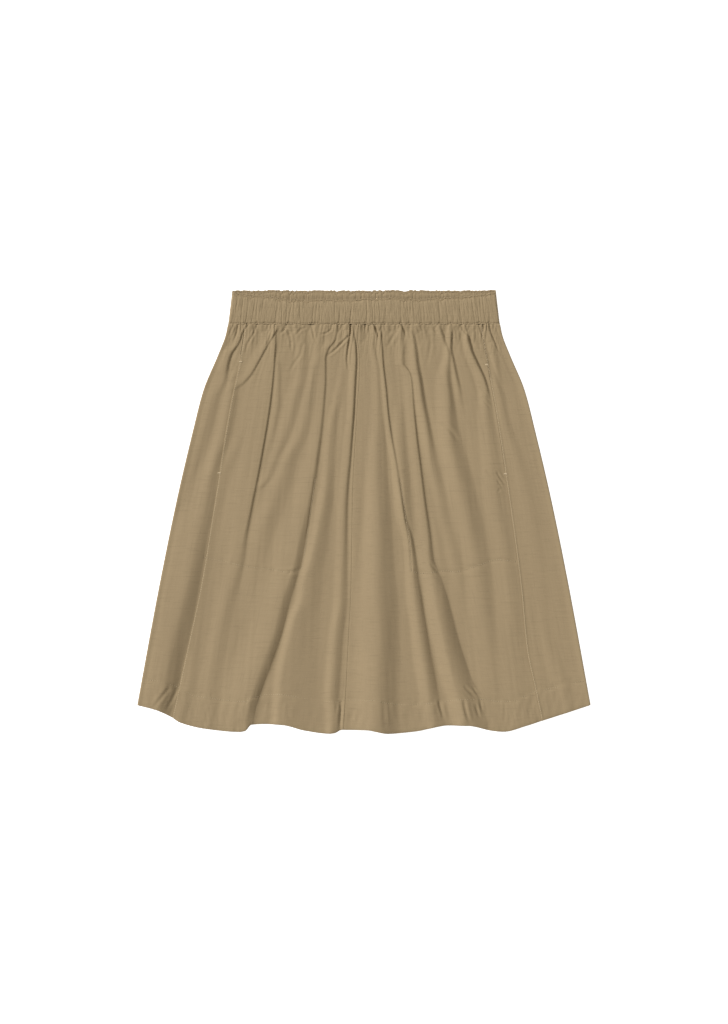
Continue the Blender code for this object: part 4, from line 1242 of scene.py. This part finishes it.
# %% [markdown]
# ### Sewing along a line
# A line of sewing is given as points on the cloth. The places are spaced evenly along it, and each stitch
# takes its direction from the line and its tilt from the cloth under it.

# %% Helpers for sewing


def unit(vectors):
    return vectors / np.maximum(np.linalg.norm(vectors, axis=-1, keepdims=True), 1e-9)


def even_places(points):
    """Where the stitches fall along a line of 3-D points, and the line's direction there."""
    step = np.linalg.norm(np.diff(points, axis=0), axis=1)
    reach = np.concatenate([[0], np.cumsum(step)])
    at = np.arange(STITCH_SPACING / 2, reach[-1], STITCH_SPACING)
    at = at + luck.uniform(-0.12, 0.12, len(at))

    def where(distance):
        return np.stack([np.interp(distance, reach, points[:, axis]) for axis in range(3)], axis=-1)

    return where(at), unit(where(at + 0.8) - where(at - 0.8))


def on_front(x, drop):
    """Points of the front's outer face in millimetres."""
    x, drop = np.broadcast_arrays(np.asarray(x, float), np.asarray(drop, float))
    return np.stack([x, WAIST_SEAM_Y - drop, front_height(x, drop)], axis=-1)


def front_normal(points):
    x = points[:, 0]
    drop = WAIST_SEAM_Y - points[:, 1]
    lean_x = front_height(x + 0.6, drop) - front_height(x - 0.6, drop)
    lean_y = front_height(x, drop - 0.6) - front_height(x, drop + 0.6)
    return unit(np.stack([-lean_x / 1.2, -lean_y / 1.2, np.ones(len(x))], axis=-1))


def copies_along(places, along, up, lift):
    """Corners and faces of a stitch at every place."""
    points, faces = STITCH
    beside = unit(np.cross(up, along))
    up = unit(np.cross(along, beside))
    corners = places[:, None, :] + up[:, None, :] * (points[None, :, 2:] + lift)
    corners = corners + along[:, None, :] * points[None, :, :1]
    corners = corners + beside[:, None, :] * points[None, :, 1:2]
    numbered = []
    for copy in range(len(places)):
        numbered += [tuple(corner + copy * len(points) for corner in face) for face in faces]
    return corners.reshape(-1, 3), numbered


def facing(count, *direction):
    """The same direction for every stitch of a line."""
    return np.tile(direction, (count, 1))


def sew(name, lines):
    """Join the stitches of several lines into one piece; a line is its corners and faces."""
    corners = []
    faces = []
    for points, numbered in lines:
        faces += [tuple(corner + len(corners) for corner in face) for face in numbered]
        corners += points.tolist()
    mesh = bpy.data.meshes.new(name)
    mesh.from_pydata((np.array(corners) * MM).tolist(), [], faces)
    mesh.shade_smooth()
    finish_piece(object_from(mesh), thread)


def sew_on_front(x, drop, lift):
    places, along = even_places(on_front(x, drop))
    return copies_along(places, along, front_normal(places), lift)


# %% [markdown]
# ### The lines of sewing
# On the front: the hem's stitches, the topstitching beside the pocket seams, the bags' outlines, and the
# edge stitching of the band. Underneath: the back hem.

# %% Sew the lines
down = np.arange(3.0, 536.0, 1.5)
across = np.arange(-300.0, 300.5, 1.0)
inside_hem = np.abs(across) < half_width(hem_line(across)) - 4
front_hem = sew_on_front(across[inside_hem], hem_line(across[inside_hem]), 0.3)
under_across = np.arange(-290.0, 290.5, 1.0)
under_drop = back_hem_drop(under_across) - BACK_HEM_STITCHES
under_points = np.stack(
    [under_across, WAIST_SEAM_Y - under_drop, under_height(under_across, under_drop)], axis=-1
)
places, along = even_places(under_points)
under_hem = copies_along(places, along, facing(len(places), 0.0, 0.0, -1.0), -0.1)
sew("hem_stitches", [front_hem, under_hem])
seam_lines = []
for seam, lift in ((LEFT_SEAM, -0.08), (RIGHT_SEAM, 0.1)):
    below_hem = down < hem_drop(seam_x(seam, down)) - 3
    seam_lines.append(sew_on_front(seam_x(seam, down[below_hem]) + 1.5, down[below_hem], lift))
sew("seam_stitches", seam_lines)
bag_lines = []
for path in BAG_STITCHES:
    line = curve_through(path, 40)
    bag_lines.append(sew_on_front(line[:, 0], line[:, 1], 0.3))
sew("pocket_stitches", bag_lines)


def sew_on_casing(casing, up):
    places, along = even_places(casing.row(up, True)[6:-6])
    corners, faces = copies_along(places, along, facing(len(places), 0.0, 0.0, 1.0), -0.1)
    corners[:, 2] = np.maximum(corners[:, 2], casing.low + 0.1)
    return corners, faces


band_rows = ((front_casing, 0.045), (front_casing, 0.937), (back_casing, 0.937))
sew("casing_stitches", [sew_on_casing(casing, up) for casing, up in band_rows])

# %% [markdown]
# ### Bartacks
# Each end of a pocket mouth is held by a bartack: a bar of tight zigzag across the seam. Here it is a
# close row of short stitches side by side.

# %% Sew the bartacks
BARTACKS = ((-166.5, 50), (-195.5, 200.5), (165.5, 54), (191, 201.5))
BARTACK_STITCHES = 9


def bartack(x, drop):
    places = on_front(x + np.linspace(-1.8, 1.8, BARTACK_STITCHES), drop)
    places[:, 2] = places[:, 2].max() * 0.5 + places[:, 2] * 0.5
    down_cloth = facing(BARTACK_STITCHES, 0.0, -1.0, 0.0)
    return copies_along(places, down_cloth, facing(BARTACK_STITCHES, 0.0, 0.0, 1.0), 0.12)


sew("bartacks", [bartack(x, drop) for x, drop in BARTACKS])

# %% [markdown]
# ## How the sheets were cut
# The front panels and the casing were cut wider than they lie, because they are gathered.


# %% [markdown]
# ## The table, the light and the camera
# The picture was taken from straight above in a bright white studio. A broad light from the upper left
# models the creases, and a weak sky all round keeps their shaded sides soft.

# %% Set the studio
CAMERA_HEIGHT = 3.0
CLOTH_LEVEL = 0.006  # the picture is in scale at this height
FRAME_HEIGHT = 1.3824
SENSOR_HEIGHT = 36
TABLE_HALF = 3.0
TABLE_Z = -0.0005


def add_table():
    mesh = bpy.data.meshes.new("floor")
    corners = ((-1, -1), (1, -1), (1, 1), (-1, 1))
    mesh.from_pydata([(x * TABLE_HALF, y * TABLE_HALF, TABLE_Z) for x, y in corners], [], [(0, 1, 2, 3)])
    table = object_from(mesh)
    finish = Finish("studio_table")
    finish.set(Base_Color=(0.6, 0.6, 0.6, 1), Roughness=0.9, Specular_IOR_Level=0.1)
    finish.set(Emission_Color=(1, 1, 1, 1), Emission_Strength=0.95)
    mesh.materials.append(finish.material)


def add_light(name, place, size, power, colour):
    lamp = bpy.data.lights.new(name, "AREA")
    lamp.shape = "DISK"
    lamp.size = size
    lamp.energy = power
    lamp.color = colour
    holder = bpy.data.objects.new(name, lamp)
    holder.location = place
    x, y, z = place
    holder.rotation_euler = (0, math.atan2(math.hypot(x, y), z), math.atan2(y, x))
    bpy.context.scene.collection.objects.link(holder)


def add_sky(colour, strength):
    world = bpy.data.worlds.new("studio_sky")
    world.use_nodes = True
    sky = world.node_tree.nodes["Background"]
    sky.inputs["Color"].default_value = colour + (1,)
    sky.inputs["Strength"].default_value = strength
    bpy.context.scene.world = world


def add_camera():
    lens = bpy.data.cameras.new("camera")
    lens.sensor_fit = "VERTICAL"
    lens.sensor_height = SENSOR_HEIGHT
    lens.lens = SENSOR_HEIGHT * (CAMERA_HEIGHT - CLOTH_LEVEL) / FRAME_HEIGHT
    holder = bpy.data.objects.new("camera", lens)
    holder.location = (0, 0, CAMERA_HEIGHT)
    bpy.context.scene.collection.objects.link(holder)
    bpy.context.scene.camera = holder


add_table()
add_light("window", (-24.0, 10.4, 24.0), 13.2, 17950, (0.99, 0.985, 1.0))
add_light("fill", (2.0, 0.4, 3.0), 2.6, 12, (1.0, 1.0, 1.0))
add_sky((1.0, 0.965, 0.88), 0.366)
add_camera()
bpy.context.scene.view_settings.view_transform = "Standard"

# %% [markdown]
# ## Box corners as plain numbers
# A helper turns the corners of a box into lists of plain floats. The dressed skirt has to stay in
# the solids' box.

# %% A helper for box corners


def plain(box):
    return [[float(number) for number in corner] for corner in box]
